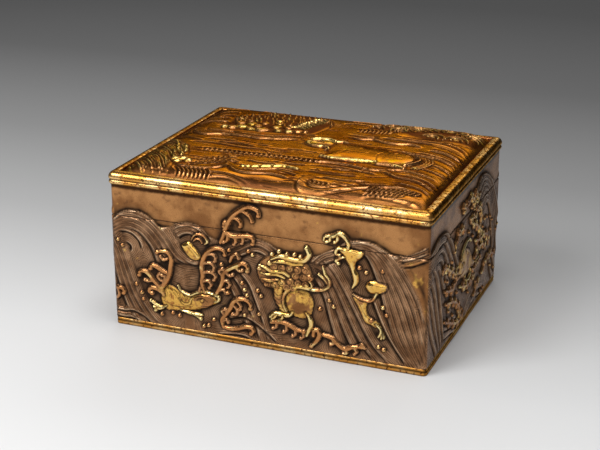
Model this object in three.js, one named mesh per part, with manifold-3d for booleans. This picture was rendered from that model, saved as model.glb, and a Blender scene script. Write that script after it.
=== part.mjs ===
// A Japanese lidded box of chased sheet copper: four body walls soldered to a moulded base frame,
// a sheet lining that stands proud as a locating lip, and a lift-off lid with a pillowed top plate.
// Millimetres, +Z up, origin on the ground under the middle of the box. The long front faces -Y.
import * as THREE from "three";
import { mergeVertices } from "three/addons/utils/BufferGeometryUtils.js";
import Module from "manifold-3d";

const wasm = await Module();
wasm.setup();

// Driving sizes
const FRAME_WIDTH = 130; // over the lid's moulding, left to right
const FRAME_DEPTH = 101; // over the lid's moulding, front to back
const BASE_RAIL_HEIGHT = 2.8;
const BODY_WALL_HEIGHT = 43.4;
const LID_WALL_HEIGHT = 12.4;
const LIP_HEIGHT = 6; // how far the lining stands above the body's mouth

// Insets are measured inwards from the outer edge of the lid's moulding
const BASE_RAIL_INSET = 0.7;
const WALL_INSET = 0.9; // of the walls' ground, the same on the body and the lid

const LID_WALL_THICKNESS = 2.0;
const LINING_THICKNESS = 0.9;
const PLATE_THICKNESS = 1.2;
const LID_LINING_THICKNESS = 0.8;
const LIP_CLEARANCE = 0.3; // between the lip and the lid's walls
const PLATE_CLEARANCE = 0.1; // round a plate dropped into its rebate
const MITRE_GAP = 0.1; // solder line where two mitred ends meet
const RAIL_LEDGE = 1.2; // width of the rebate's ledge that carries a plate
const BASE_LEDGE_HEIGHT = 1.0;
const LID_RAIL_WIDTH = 4.0; // from the moulding's outer edge to its inner one
const LID_BEAD_RADIUS = 0.9;
const LID_RAIL_HEIGHT = 5.0;
const LID_LEDGE_HEIGHT = 2.8; // of the ledge above the moulding's underside
const PILLOW_RISE = 3.8; // of the top plate's middle above its border
const PILLOW_POWER = 9; // how flat the middle is and how tightly the edges roll
const CORNER_RADIUS = 1.5; // rounding of the walls' upright corners, which the mouldings follow
const RELIEF_CEILING = 0.9; // the highest that relief stands off a wall
const RELIEF_ROOT = 0.8; // how deep it is rooted
const DROP_RADIUS = 0.8;
const FOAM_WIDTH = 1.5;
const FOAM_HEIGHT = 0.9;
const STRAND_STEPS = 1; // straight pieces for each drawn stretch of a strand
const CLAW_STEPS = 3;
const CLAW_HOOK = 3.6; // radians that a claw turns through
const DOME_SIDES = 8;
const DOME_RINGS = 4;

// Heights and insets that follow
const MOUTH_Z = BASE_RAIL_HEIGHT + BODY_WALL_HEIGHT;
const LID_WALL_TOP_Z = MOUTH_Z + LID_WALL_HEIGHT;
const LID_WALL_INNER_INSET = WALL_INSET + LID_WALL_THICKNESS;
const LINING_INSET = LID_WALL_INNER_INSET + LIP_CLEARANCE;
const LINING_INNER_INSET = LINING_INSET + LINING_THICKNESS;
const BASE_PLATE_Z = BASE_LEDGE_HEIGHT;
const FLOOR_Z = BASE_PLATE_Z + PLATE_THICKNESS;
const TOP_PLATE_Z = LID_WALL_TOP_Z + LID_LEDGE_HEIGHT;
const TOP_PLATE_INSET = LID_RAIL_WIDTH + PLATE_CLEARANCE;

// Finishes
const finish = (color, roughness) => new THREE.MeshStandardMaterial({ color, roughness, metalness: 0.9 });
const PATINATED_COPPER = finish(0x6b4a2e, 0.5);
const GILT_COPPER = finish(0xc9983f, 0.35);
const RUSSET_COPPER = finish(0x9a5a24, 0.4);
const GOLD_WASH = finish(0xb9904e, 0.45);

// The four sides, as the builder walks round the box: each is made facing -Y and then turned
const SIDES = [
  { name: "front", turn: 0, span: FRAME_WIDTH, cross: FRAME_DEPTH },
  { name: "right", turn: 1, span: FRAME_DEPTH, cross: FRAME_WIDTH },
  { name: "back", turn: 2, span: FRAME_WIDTH, cross: FRAME_DEPTH },
  { name: "left", turn: 3, span: FRAME_DEPTH, cross: FRAME_WIDTH },
];

// A closed geometry as a solid that can be joined and cut
function solidOf(geometry) {
  const bare = geometry.clone();
  bare.deleteAttribute("normal");
  bare.deleteAttribute("uv");
  const merged = mergeVertices(bare, 1e-4);
  return new wasm.Manifold(
    new wasm.Mesh({
      numProp: 3,
      vertProperties: new Float32Array(merged.attributes.position.array),
      triVerts: new Uint32Array(merged.index.array),
    }),
  );
}

// A solid's surface as a geometry
function geometryOf(solid) {
  const { vertProperties, triVerts } = solid.getMesh();
  return new THREE.BufferGeometry()
    .setAttribute("position", new THREE.BufferAttribute(vertProperties, 3))
    .setIndex(new THREE.BufferAttribute(triVerts, 1));
}

// A straight bar of one side: the section holds insets and heights, and each end is mitred at 45 degrees
function mitredBar(section, side) {
  const bar = new THREE.ExtrudeGeometry(section, { depth: 1, bevelEnabled: false, curveSegments: 5 });
  const at = bar.attributes.position;
  for (let i = 0; i < at.count; i++) {
    const inset = at.getX(i);
    const height = at.getY(i);
    const reach = side.span / 2 - inset - MITRE_GAP / 2;
    at.setXYZ(i, at.getZ(i) > 0.5 ? reach : -reach, inset - side.cross / 2, height);
  }
  return bar;
}

// A rectangular section between two insets and two heights
function slabSection(outer, inner, low, high) {
  return new THREE.Shape([
    new THREE.Vector2(outer, low),
    new THREE.Vector2(inner, low),
    new THREE.Vector2(inner, high),
    new THREE.Vector2(outer, high),
  ]);
}

// An upright block with rounded corners that walls, their relief or mouldings are trimmed to
function roundedBlock(side, inset) {
  const x = side.span / 2 - inset;
  const y = side.cross / 2 - inset;
  const r = CORNER_RADIUS + WALL_INSET - inset;
  const outline = new THREE.Shape();
  outline.absarc(x - r, y - r, r, 0, Math.PI / 2, false);
  outline.absarc(r - x, y - r, r, Math.PI / 2, Math.PI, false);
  outline.absarc(r - x, r - y, r, Math.PI, Math.PI * 1.5, false);
  outline.absarc(x - r, r - y, r, Math.PI * 1.5, Math.PI * 2, false);
  const depth = LID_WALL_TOP_Z + LID_RAIL_HEIGHT + 1;
  return new THREE.ExtrudeGeometry(outline, { depth, bevelEnabled: false, curveSegments: 4 });
}

// A wall plate between two heights, with its share of the rounded corners and of the face's relief
function wallPlate(side, relief, inner, low, high) {
  const outer = WALL_INSET - RELIEF_CEILING;
  const ground = solidOf(mitredBar(slabSection(WALL_INSET, inner, low, high), side));
  const room = solidOf(mitredBar(slabSection(outer, WALL_INSET + RELIEF_ROOT, low, high), side));
  const raised = relief.intersect(room).intersect(solidOf(roundedBlock(side, outer)));
  return geometryOf(ground.intersect(solidOf(roundedBlock(side, WALL_INSET))).add(raised));
}

// A mitred moulding whose outer corners are rounded off
function moulding(section, side, inset) {
  return geometryOf(solidOf(mitredBar(section, side)).intersect(solidOf(roundedBlock(side, inset))));
}

// Relief is drawn flat first: u along the face from its middle, v up the face or across the lid from front
// to back, and w out of it. It is stretched from the sheet that it was drawn on to the face that carries it.
const DRAWN = { width: 130, depth: 101, foot: 2.8, head: 58.6 };

// A strand along a smooth line: roof-shaped across, full in its middle and thinner at its ends
function strand(points, width, height, ends = 0.35) {
  const line = new THREE.SplineCurve(points.map(([u, v]) => new THREE.Vector2(u, v)));
  const rod = new THREE.CylinderGeometry(1, 1, 1, 4, Math.ceil(STRAND_STEPS * (points.length - 1)));
  const at = rod.attributes.position;
  for (let i = 0; i < at.count; i++) {
    const t = at.getY(i) + 0.5;
    const centre = line.getPoint(t);
    const tangent = line.getTangent(t);
    const full = ends + (1 - ends) * Math.sqrt(Math.sin(Math.PI * t));
    const across = (at.getX(i) * full * width) / 2;
    at.setXYZ(i, centre.x + across * tangent.y, centre.y - across * tangent.x, at.getZ(i) * full * height);
  }
  return rod;
}

// A swell of water: ridges set evenly between its outer and its inner line
function swell(outer, inner, ridges, width, height) {
  return Array.from({ length: ridges }, (_, k) => {
    const t = k / Math.max(1, ridges - 1);
    const line = outer.map(([u, v], i) => [u + t * (inner[i][0] - u), v + t * (inner[i][1] - v)]);
    return strand(line, width, height * (1 - 0.3 * t));
  });
}

// A claw of foam: it sets out along its aim in degrees, then hooks to the left (hand 1) or the right (-1)
function claw(u, v, aim, size, hand) {
  const points = [[u, v]];
  let heading = (aim * Math.PI) / 180;
  for (let step = 1; step <= CLAW_STEPS; step++) {
    const last = points[points.length - 1];
    points.push([
      last[0] + (size / CLAW_STEPS) * Math.cos(heading),
      last[1] + (size / CLAW_STEPS) * Math.sin(heading),
    ]);
    heading += (hand * CLAW_HOOK * 2 * step) / (CLAW_STEPS * (CLAW_STEPS + 1));
  }
  return strand(points, FOAM_WIDTH, FOAM_HEIGHT);
}

// A frond of foam: a stem that sends claws out to one side, each hooking back towards its root
function frond(stem, claws, size, hand) {
  const line = new THREE.SplineCurve(stem.map(([u, v]) => new THREE.Vector2(u, v)));
  const made = [strand(stem, FOAM_WIDTH * 1.2, FOAM_HEIGHT)];
  for (let k = 0; k < claws; k++) {
    const t = (k + 0.7) / (claws + 0.4);
    const root = line.getPoint(t);
    const aim = (line.getTangent(t).angle() * 180) / Math.PI + hand * 60;
    made.push(claw(root.x, root.y, aim, size, -hand));
  }
  return made;
}

// A drop of spray, half sunk
function drop(u, v, radius = DROP_RADIUS) {
  return new THREE.IcosahedronGeometry(radius, 0).translate(u, v, 0);
}

// A rounded mass, such as a haunch, a head or a rock: an oval dome turned by its tilt in degrees
function dome(u, v, halfLength, halfWidth, height, tilt = 0) {
  return new THREE.SphereGeometry(1, DOME_SIDES, DOME_RINGS)
    .rotateX(Math.PI / 2)
    .scale(halfLength, halfWidth, height)
    .rotateZ((tilt * Math.PI) / 180)
    .translate(u, v, 0);
}

// A broken rock: a flattened twelve-sided lump
function rock(u, v, halfLength, halfWidth, height, tilt = 0) {
  return new THREE.DodecahedronGeometry(1, 0)
    .scale(halfLength, halfWidth, height)
    .rotateZ((tilt * Math.PI) / 180)
    .translate(u, v, 0);
}

// All the motifs of a drawing as one solid, each carried to its face by a placing function
function raise(motifs, place) {
  const solids = motifs.map((motif) => {
    const at = motif.attributes.position;
    for (let i = 0; i < at.count; i++) {
      at.setXYZ(i, ...place(at.getX(i), at.getY(i), at.getZ(i)));
    }
    return solidOf(motif);
  });
  return solids.reduce((whole, solid) => whole.add(solid));
}

// A wall's relief, stretched from the drawing to the wall's own length and height and bent round its corners
function wallRelief(side) {
  const drawn = side.turn % 2 ? DRAWN.depth : DRAWN.width;
  const rise = (LID_WALL_TOP_Z - BASE_RAIL_HEIGHT) / (DRAWN.head - DRAWN.foot);
  const reach = side.span / 2 - WALL_INSET;
  return raise(RELIEF[side.name](), (u, v, w) => {
    const x = (u * side.span) / drawn;
    const round = Math.min(1, Math.max(0, 1 - (reach - Math.abs(x)) / CORNER_RADIUS));
    const fall = CORNER_RADIUS * (1 - Math.sqrt(1 - round ** 2));
    return [x, WALL_INSET - side.cross / 2 + fall - w, BASE_RAIL_HEIGHT + (v - DRAWN.foot) * rise];
  });
}

// Front, left half: a great wave rolls over at the left, a horned fish-beast swims under fronds of foam
function frontLeft() {
  const spray = [[-61, 36], [-59.5, 34], [-54, 18.6], [-52, 15.3], [-46, 8.8], [-43.4, 7.5], [-38.6, 8.8]];
  const spill = [[-25.3, 5.3], [-21, 8.8], [-6, 39.3], [-8.8, 26], [-6.9, 21], [-2.4, 23.8], [-2, 14.3]];
  return [
    ...swell(
      [[-64.5, 42.5], [-59, 48.3], [-50, 48.5], [-43, 43.8], [-38, 38], [-33, 32], [-26, 31.5]],
      [[-64.5, 37], [-60, 41], [-55, 41.8], [-50, 39.5], [-47.5, 36.5], [-46, 33.5], [-45, 31]],
      4, 2.6, 0.7,
    ),
    ...swell(
      [[-64.5, 40], [-59, 30], [-56, 21], [-51, 10.8], [-44, 3.6]],
      [[-64.5, 30], [-62, 23], [-60, 17], [-57, 9.5], [-53, 3.6]],
      3, 2.8, 0.6,
    ),
    ...swell(
      [[-38, 44.6], [-32, 47], [-26, 46.3], [-21.5, 41]],
      [[-36, 41.5], [-32, 43.3], [-29.5, 43], [-28, 41]],
      2, 2.2, 0.6,
    ),
    ...frond([[-42.3, 15.8], [-41, 21.7], [-38.9, 28.3], [-40.2, 33.8], [-44.5, 33]], 3, 8, 1),
    ...frond([[-24.3, 20], [-25.5, 27], [-24.8, 33.3], [-20.6, 38.2], [-16, 37.5]], 5, 6, -1),
    ...frond([[-17.3, 41.3], [-15, 47.5], [-11.8, 52.9], [-6.4, 56.8], [-2, 54.8]], 3, 6, -1),
    ...frond([[-19.3, 20.4], [-16.8, 26], [-12.7, 31.7], [-8.5, 33.8], [-6.4, 31.5]], 3, 5, -1),
    ...frond([[-16.8, 6.7], [-16, 11.7], [-12.7, 17.5], [-7.7, 19.2], [-5.3, 16.3]], 3, 5.5, -1),
    strand([[-16, 46], [-12, 44.6], [-7, 45.2], [-4, 43]], 1.6, 0.9),
    strand([[-16.8, 6.7], [-11, 6.7], [-7.7, 7.9], [-4.5, 6]], 1.6, 0.9),
    strand([[-65, 6.7], [-58.5, 6.9], [-53, 6], [-48.5, 3.8]], 1.8, 0.6),
    strand([[-12.7, 40], [-7.7, 42.5], [-2.7, 44.2], [4, 42]], 2, 0.6),
    strand([[-8.5, 29.2], [-5.2, 25], [-3, 18], [1, 8]], 2.2, 0.6),
    dome(-35.5, 14.3, 8, 4.2, 1, -4),
    dome(-25, 15.6, 6.5, 3, 1, 12),
    strand([[-42, 12], [-45, 10.6], [-48, 12.4]], 2.2, 0.9),
    strand([[-34, 11], [-30, 9.6], [-26, 8.6]], 1.8, 0.9),
    strand([[-36, 20], [-33, 17.6], [-28, 18], [-24, 19.3], [-19, 17.5], [-18.7, 20]], 1.6, 1),
    dome(-30, 35.8, 4.6, 3, 0.7, -38),
    strand([[-29.3, 40.6], [-27, 43], [-23.9, 42.5], [-23, 39.8]], 1.6, 0.7),
    ...[...spray, ...spill].map(([u, v]) => drop(u, v)),
  ];
}

// Front, right half: a maned lion-dog under tall falling waves, and the hind part of a beast diving into them
function frontRight() {
  const spray = [[38, 39.2], [40.7, 37.8], [47, 39.2], [26.5, 24.5], [22.8, 20.5], [48, 23.6]];
  const curls = [[3, 36], [8, 35], [13, 35.4], [17, 33], [12.6, 30.4]];
  return [
    ...swell(
      [[30.2, 45.4], [36, 49.4], [44, 49.2], [51.5, 44], [58, 34], [62, 24], [64, 12]],
      [[39, 44], [42, 40], [45.5, 34], [48.5, 27], [51.5, 20], [55, 12], [60, 4]],
      4, 3.4, 0.8,
    ),
    ...swell(
      [[20.2, 40], [26.8, 38.5], [32, 30], [36, 22], [41.5, 13], [50.5, 3.6]],
      [[21, 34], [23.5, 30], [25.5, 25], [27, 20], [28.8, 13], [30.5, 7.5]],
      3, 3, 0.7,
    ),
    strand([[20, 36.6], [24, 42], [29, 43.4]], 1.8, 0.6),
    dome(14.3, 21.3, 5.2, 5, 1),
    dome(8.5, 21.5, 3.4, 5.5, 0.9, -10),
    strand([[9, 18], [8.7, 24], [14.3, 28], [21, 27.7], [26, 30], [26, 33.5], [23.9, 37.6]], 1.7, 1),
    strand([[25.4, 31], [24.4, 33.4], [22, 34.6]], 1.2, 0.8),
    dome(9, 33.5, 9, 5.6, 0.8),
    strand([[2, 38], [9, 39.2], [15.5, 38.4], [18.4, 41], [17.3, 44]], 2.2, 1),
    strand([[-0.6, 33.4], [4, 32.4], [10, 31.6]], 1.8, 1),
    strand([[0, 29.6], [4, 28], [9, 28.4]], 1.8, 1),
    ...curls.map(([u, v]) => drop(u, v, 1.3)),
    strand([[2.6, 14.2], [5, 15.6], [10, 15.6], [12, 18]], 2.2, 1),
    strand([[17.4, 18], [19, 14.4], [18, 10]], 2.2, 1),
    ...frond([[3, 11.5], [9, 12.3], [15, 10.2], [20.2, 11.7], [22.4, 8.6]], 3, 4, -1),
    ...frond([[24.3, 10], [30.2, 7.1], [34, 6.2], [40, 8]], 3, 4, -1),
    ...frond([[24.3, 48], [29, 50.2], [34, 48.6]], 2, 4, -1),
    dome(34.6, 44, 4.8, 2.6, 0.8),
    strand([[36, 42], [37.4, 35.5], [35.2, 30.8]], 2.2, 0.9),
    claw(31, 45, 170, 6, 1),
    claw(32, 42, 180, 5, 1),
    dome(44.8, 32, 4.2, 2.3, 0.9, 4),
    strand([[35.6, 28.4], [40, 26.6], [43.4, 27.4], [44.6, 30]], 1.8, 0.9),
    dome(39.2, 23, 2.6, 5.6, 1, 24),
    strand([[40, 18.6], [44, 18.2], [47.2, 15.6], [47.4, 12.4]], 2.2, 0.9),
    strand([[56, 44], [61, 46.6], [64.5, 50]], 1.8, 0.6),
    ...spray.map(([u, v]) => drop(u, v)),
  ];
}

// Ends: a wave curls in from the front edge, and a horned beast's head stands in dense foam
function endRelief() {
  return [
    ...swell(
      [[-49.5, 45], [-38, 50.2], [-30, 49], [-22, 42], [-14, 32]],
      [[-46, 36], [-41, 38.5], [-36, 37], [-33, 33], [-30, 28]],
      2, 3, 0.7,
    ),
    ...swell(
      [[-44, 42], [-36, 32], [-34, 20], [-30.5, 7]],
      [[-49.5, 24], [-46, 17], [-42, 10], [-38, 3.8]],
      2, 3, 0.7,
    ),
    ...swell(
      [[9, 51], [18, 56], [29, 53.6], [39, 45], [47, 33], [49.5, 22]],
      [[23, 40], [28, 42.6], [33, 40], [37, 33], [39.5, 24], [40, 14]],
      3, 3, 0.7,
    ),
    ...frond([[-16, 22], [-22, 27], [-28, 31], [-34, 36]], 4, 6, 1),
    ...frond([[-8, 43], [-4, 49.5], [4, 52.6], [10, 50]], 4, 6, -1),
    ...frond([[8, 36], [13, 42], [17, 47], [12, 50.5]], 3, 6, -1),
    ...frond([[-14, 8], [-9.5, 12], [-12, 19], [-18, 23]], 3, 5, 1),
    ...frond([[12, 24], [20, 28], [28, 27.6], [33, 23]], 3, 6, 1),
    ...frond([[20, 9], [29, 13], [38, 14.6], [46, 12]], 4, 5, 1),
    dome(1, 29, 10.5, 7, 1, 8),
    dome(-8.5, 25.6, 5.5, 3.8, 1, 20),
    strand([[3, 35], [9, 39], [10, 44.6]], 2.2, 1),
    strand([[-15, 31.6], [-9, 30.6], [-4, 32.4]], 1.8, 1),
    strand([[-10, 22], [-3, 17.6], [6, 17], [13, 20]], 2.4, 0.9),
    strand([[-28, 12], [-19, 8.6], [-10, 5.4]], 1.8, 0.7),
  ];
}

// Back: two waves run the other way, with foam over the join between them
function backRelief() {
  const spray = [[-44, 33], [-24, 39], [6, 30], [24, 12], [54, 15]];
  return [
    ...swell(
      [[64, 40], [54, 48.6], [44, 47.6], [36, 40], [29, 31], [20, 28]],
      [[64, 32], [56, 39], [49, 38.4], [44, 33], [41, 27], [36, 23]],
      3, 3, 0.7,
    ),
    ...swell(
      [[14, 44], [2, 49.6], [-10, 47], [-20, 37], [-28, 23], [-34, 8]],
      [[6, 33], [0, 37], [-6, 34], [-11, 26], [-15, 17], [-18, 8]],
      3, 3.4, 0.8,
    ),
    ...swell(
      [[-30, 46], [-42, 49], [-52, 43], [-59, 32], [-63.5, 16]],
      [[-36, 36], [-42, 37], [-46, 30], [-50, 20], [-55, 5]],
      3, 3.4, 0.7,
    ),
    ...swell([[64, 24], [52, 15], [40, 12], [28, 4]], [[64, 12], [56, 8], [48, 7], [40, 4]], 2, 2.6, 0.6),
    ...frond([[22, 20], [26, 27], [33, 31], [37, 27]], 3, 6, -1),
    ...frond([[20, 42], [24, 49], [31, 53.6], [37, 51.6]], 4, 6, -1),
    ...frond([[-20, 14], [-23, 21], [-20, 28], [-24, 33]], 4, 6, -1),
    ...frond([[-26, 42], [-22, 48], [-28, 53.6], [-34, 52.6]], 3, 6, 1),
    ...frond([[-6, 6], [2, 10], [11, 9], [18, 13]], 4, 5, 1),
    ...frond([[-58, 20], [-50, 24], [-46, 31], [-51, 35]], 3, 5.5, 1),
    ...spray.map(([u, v]) => drop(u, v)),
  ];
}

// Lid top: rocks stand behind and at the front left, an ox lies in a stream, and water runs all round
function topRelief() {
  const crags = [
    [-38, 27, 8, 7, 1.2, 20], [-26, 24, 8, 6, 1.4, -15], [-14, 28, 8, 5, 1.3, 30], [-24, 38, 14, 5, 1.3, 5],
    [28, 36, 9, 5, 1.2, 10], [42, 34, 10, 6, 1.3, -12], [54, 35, 6, 6, 1.1, 25],
    [-53, -24, 7, 8, 1.1, 35], [-51, -38, 8, 5, 1.2, -20], [-44, -30, 6, 8, 1.0, 15],
  ];
  const streams = [
    [[-54, 8], [-53, 3], [-48, 0.6], [-40, 3.6], [-24, 3], [-14, 6], [-5, 7.4]],
    [[-59, 17], [-53, 19.4], [-46, 20.6]],
    [[14, 16.6], [22, 18], [32, 16.6], [44, 15], [52, 10], [60, 7.4]],
    [[30, 7], [42, 4.6], [52, 2.4], [60, -1]],
    [[6, -18], [20, -17], [34, -19.6], [42, -16], [50, -18], [59.5, -19]],
    [[38, -19], [42, -23.6], [50, -25], [60, -30]],
    [[11, -36], [10.6, -44.6], [20, -45.6], [32, -41], [46, -35.6], [54, -38]],
    [[36.6, -49.5], [41, -47], [50, -46.6], [59, -51]],
    [[-42, -38.6], [-32, -39.6], [-24, -37], [-22, -31.6]],
    [[-21, -36], [-12, -38.6], [-2, -37], [6, -39.4]],
    [[-16, -33], [-9, -30.6], [-1, -27], [5, -28.6]],
  ];
  return [
    ...crags.map((size) => rock(...size)),
    ...streams.map((line) => strand(line, 1.8, 0.8)),
    dome(24, -1, 19, 9, 1.5, -6),
    dome(38, -3, 9, 8.6, 1.6, -10),
    dome(1, 5, 5.6, 3.8, 1.6, -20),
    dome(-3, 3.4, 2.8, 2.4, 1.5),
    strand([[2, 8], [6, 10.6], [10, 9]], 2.2, 1.5),
    strand([[9, -10], [18, -12.6], [30, -11.6], [40, -14]], 2.6, 1.4),
    strand([[43, 4], [47, -4], [46, -13]], 1.8, 1.2),
  ];
}

const RELIEF = {
  front: () => [...frontLeft(), ...frontRight()],
  right: endRelief,
  back: backRelief,
  left: endRelief,
};

// The base moulding: a broad flat fillet under a thin bead, with a rebate inside for the base plate
function baseRailSection() {
  const beadRadius = 0.5;
  const beadInset = BASE_RAIL_INSET + beadRadius;
  const ledgeInset = LINING_INNER_INSET;
  const section = new THREE.Shape();
  section.moveTo(ledgeInset + RAIL_LEDGE, 0);
  section.lineTo(ledgeInset + RAIL_LEDGE, BASE_LEDGE_HEIGHT);
  section.lineTo(ledgeInset, BASE_LEDGE_HEIGHT);
  section.lineTo(ledgeInset, BASE_RAIL_HEIGHT);
  section.lineTo(beadInset, BASE_RAIL_HEIGHT);
  section.absarc(beadInset, BASE_RAIL_HEIGHT - beadRadius, beadRadius, Math.PI / 2, Math.PI * 1.25, false);
  section.lineTo(BASE_RAIL_INSET, BASE_RAIL_HEIGHT - 2.3 * beadRadius);
  section.lineTo(BASE_RAIL_INSET, beadRadius / 2);
  section.lineTo(BASE_RAIL_INSET + beadRadius / 2, 0);
  section.closePath();
  return section;
}

// The lid moulding: a round bead, a quirk, then a broad ovolo that rolls in to the top plate
function lidRailSection() {
  const foot = LID_WALL_TOP_Z;
  const crown = foot + LID_RAIL_HEIGHT;
  const r = LID_BEAD_RADIUS;
  const beadZ = foot + 1.15 * r;
  const beadInset = 0.1 + r;
  const ovoloHeight = LID_RAIL_HEIGHT - 2.9 * r;
  const ovoloReach = LID_RAIL_WIDTH * 0.55;
  const section = new THREE.Shape();
  section.moveTo(LID_RAIL_WIDTH + RAIL_LEDGE, foot);
  section.lineTo(LID_RAIL_WIDTH + RAIL_LEDGE, foot + LID_LEDGE_HEIGHT);
  section.lineTo(LID_RAIL_WIDTH, foot + LID_LEDGE_HEIGHT);
  section.lineTo(LID_RAIL_WIDTH, crown - 0.9);
  section.quadraticCurveTo(LID_RAIL_WIDTH - 0.5, crown, ovoloReach, crown);
  section.absellipse(ovoloReach, crown - ovoloHeight, ovoloReach, ovoloHeight, Math.PI / 2, Math.PI, false);
  section.lineTo(0.6 * r, beadZ + 1.05 * r);
  section.absarc(beadInset, beadZ, r, Math.PI * 0.72, Math.PI * 1.3, false);
  section.lineTo(0.7 * r, foot);
  section.closePath();
  return section;
}

// Height of the pillow over its border, which may leave a flat flange round it
const topHalfX = FRAME_WIDTH / 2 - TOP_PLATE_INSET;
const topHalfY = FRAME_DEPTH / 2 - TOP_PLATE_INSET;
function pillow(x, y, flange = 0) {
  const across = 1 - Math.min(1, Math.abs(x) / (topHalfX - flange)) ** PILLOW_POWER;
  const along = 1 - Math.min(1, Math.abs(y) / (topHalfY - flange)) ** PILLOW_POWER;
  return PILLOW_RISE * across * along;
}

// The top plate: a pillowed face over a hollow one, on a grid that is finer towards the edges
function pillowSheet(columns, rows) {
  const even = new THREE.PlaneGeometry(2, 2, columns, rows);
  const at = even.attributes.position;
  const edgeward = (t) => Math.sign(t) * (1 - (1 - Math.abs(t)) ** 2);
  const points = [];
  for (const lower of [false, true]) {
    for (let i = 0; i < at.count; i++) {
      const x = topHalfX * edgeward(at.getX(i));
      const y = topHalfY * edgeward(at.getY(i));
      points.push(x, y, TOP_PLATE_Z + (lower ? pillow(x, y, RAIL_LEDGE) : pillow(x, y) + PLATE_THICKNESS));
    }
  }
  const faces = [...even.index.array];
  const upper = faces.slice();
  for (let i = 0; i < upper.length; i += 3) {
    faces.push(upper[i] + at.count, upper[i + 2] + at.count, upper[i + 1] + at.count);
  }
  const wide = columns + 1;
  const rim = [];
  for (let c = 0; c < columns; c++) rim.push(c);
  for (let r = 0; r < rows; r++) rim.push(r * wide + columns);
  for (let c = columns; c > 0; c--) rim.push(rows * wide + c);
  for (let r = rows; r > 0; r--) rim.push(r * wide);
  rim.forEach((a, i) => {
    const b = rim[(i + 1) % rim.length];
    faces.push(a, b, b + at.count, a, b + at.count, a + at.count);
  });
  return new THREE.BufferGeometry()
    .setAttribute("position", new THREE.Float32BufferAttribute(points, 3))
    .setIndex(faces);
}

// A flat plate whose edge lies at one inset all round
function plate(inset, low, thickness) {
  const made = new THREE.BoxGeometry(FRAME_WIDTH - 2 * inset, FRAME_DEPTH - 2 * inset, thickness);
  return made.translate(0, 0, low + thickness / 2);
}

// The top plate's relief, draped over the pillow and kept inside the rebate
function lidTop() {
  const relief = raise(topRelief(), (u, v, w) => {
    const x = (u * FRAME_WIDTH) / DRAWN.width;
    const y = (v * FRAME_DEPTH) / DRAWN.depth;
    return [x, y, TOP_PLATE_Z + PLATE_THICKNESS + pillow(x, y) + w];
  });
  const room = solidOf(plate(TOP_PLATE_INSET, TOP_PLATE_Z, PILLOW_RISE + 2 * PLATE_THICKNESS));
  return geometryOf(solidOf(pillowSheet(12, 8)).add(relief.intersect(room)));
}

function piece(name, geometry, material, turn = 0) {
  const mesh = new THREE.Mesh(geometry, material);
  mesh.name = name;
  mesh.rotation.z = (turn * Math.PI) / 2;
  return mesh;
}

const body = new THREE.Group();
const lid = new THREE.Group();

for (const side of SIDES) {
  const relief = wallRelief(side);
  const bodyWall = wallPlate(side, relief, LINING_INSET, BASE_RAIL_HEIGHT, MOUTH_Z);
  const lidWall = wallPlate(side, relief, LID_WALL_INNER_INSET, MOUTH_Z, LID_WALL_TOP_Z);
  const lining = slabSection(LINING_INSET, LINING_INNER_INSET, BASE_RAIL_HEIGHT, MOUTH_Z + LIP_HEIGHT);
  const baseRail = moulding(baseRailSection(), side, BASE_RAIL_INSET);
  body.add(
    piece(`base_rail_${side.name}`, baseRail, GILT_COPPER, side.turn),
    piece(`body_wall_${side.name}`, bodyWall, PATINATED_COPPER, side.turn),
    piece(`lining_${side.name}`, mitredBar(lining, side), GOLD_WASH, side.turn),
  );
  lid.add(
    piece(`lid_wall_${side.name}`, lidWall, PATINATED_COPPER, side.turn),
    piece(`lid_rail_${side.name}`, moulding(lidRailSection(), side, 0), GILT_COPPER, side.turn),
  );
}

const basePlateInset = LINING_INNER_INSET + PLATE_CLEARANCE;
body.add(
  piece("base_plate", plate(basePlateInset, BASE_PLATE_Z, PLATE_THICKNESS), PATINATED_COPPER),
  piece("lining_floor", plate(basePlateInset, FLOOR_Z, LINING_THICKNESS), GOLD_WASH),
);

const lidLiningInset = LID_WALL_INNER_INSET + PLATE_CLEARANCE;
const lidLiningZ = LID_WALL_TOP_Z - LID_LINING_THICKNESS;
lid.add(
  piece("lid_lining", plate(lidLiningInset, lidLiningZ, LID_LINING_THICKNESS), GOLD_WASH),
  piece("lid_top", lidTop(), RUSSET_COPPER),
);

const box = new THREE.Group();
box.add(body, lid);
export default box;
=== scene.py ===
"""Looks of a Japanese lidded box of chased and gilt copper: relief walls, gilt mouldings, a pillowed lid."""

import logging
import math
from dataclasses import dataclass
from enum import Enum

import bmesh
import bpy
import numpy as np
from mathutils import Matrix, Vector


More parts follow.
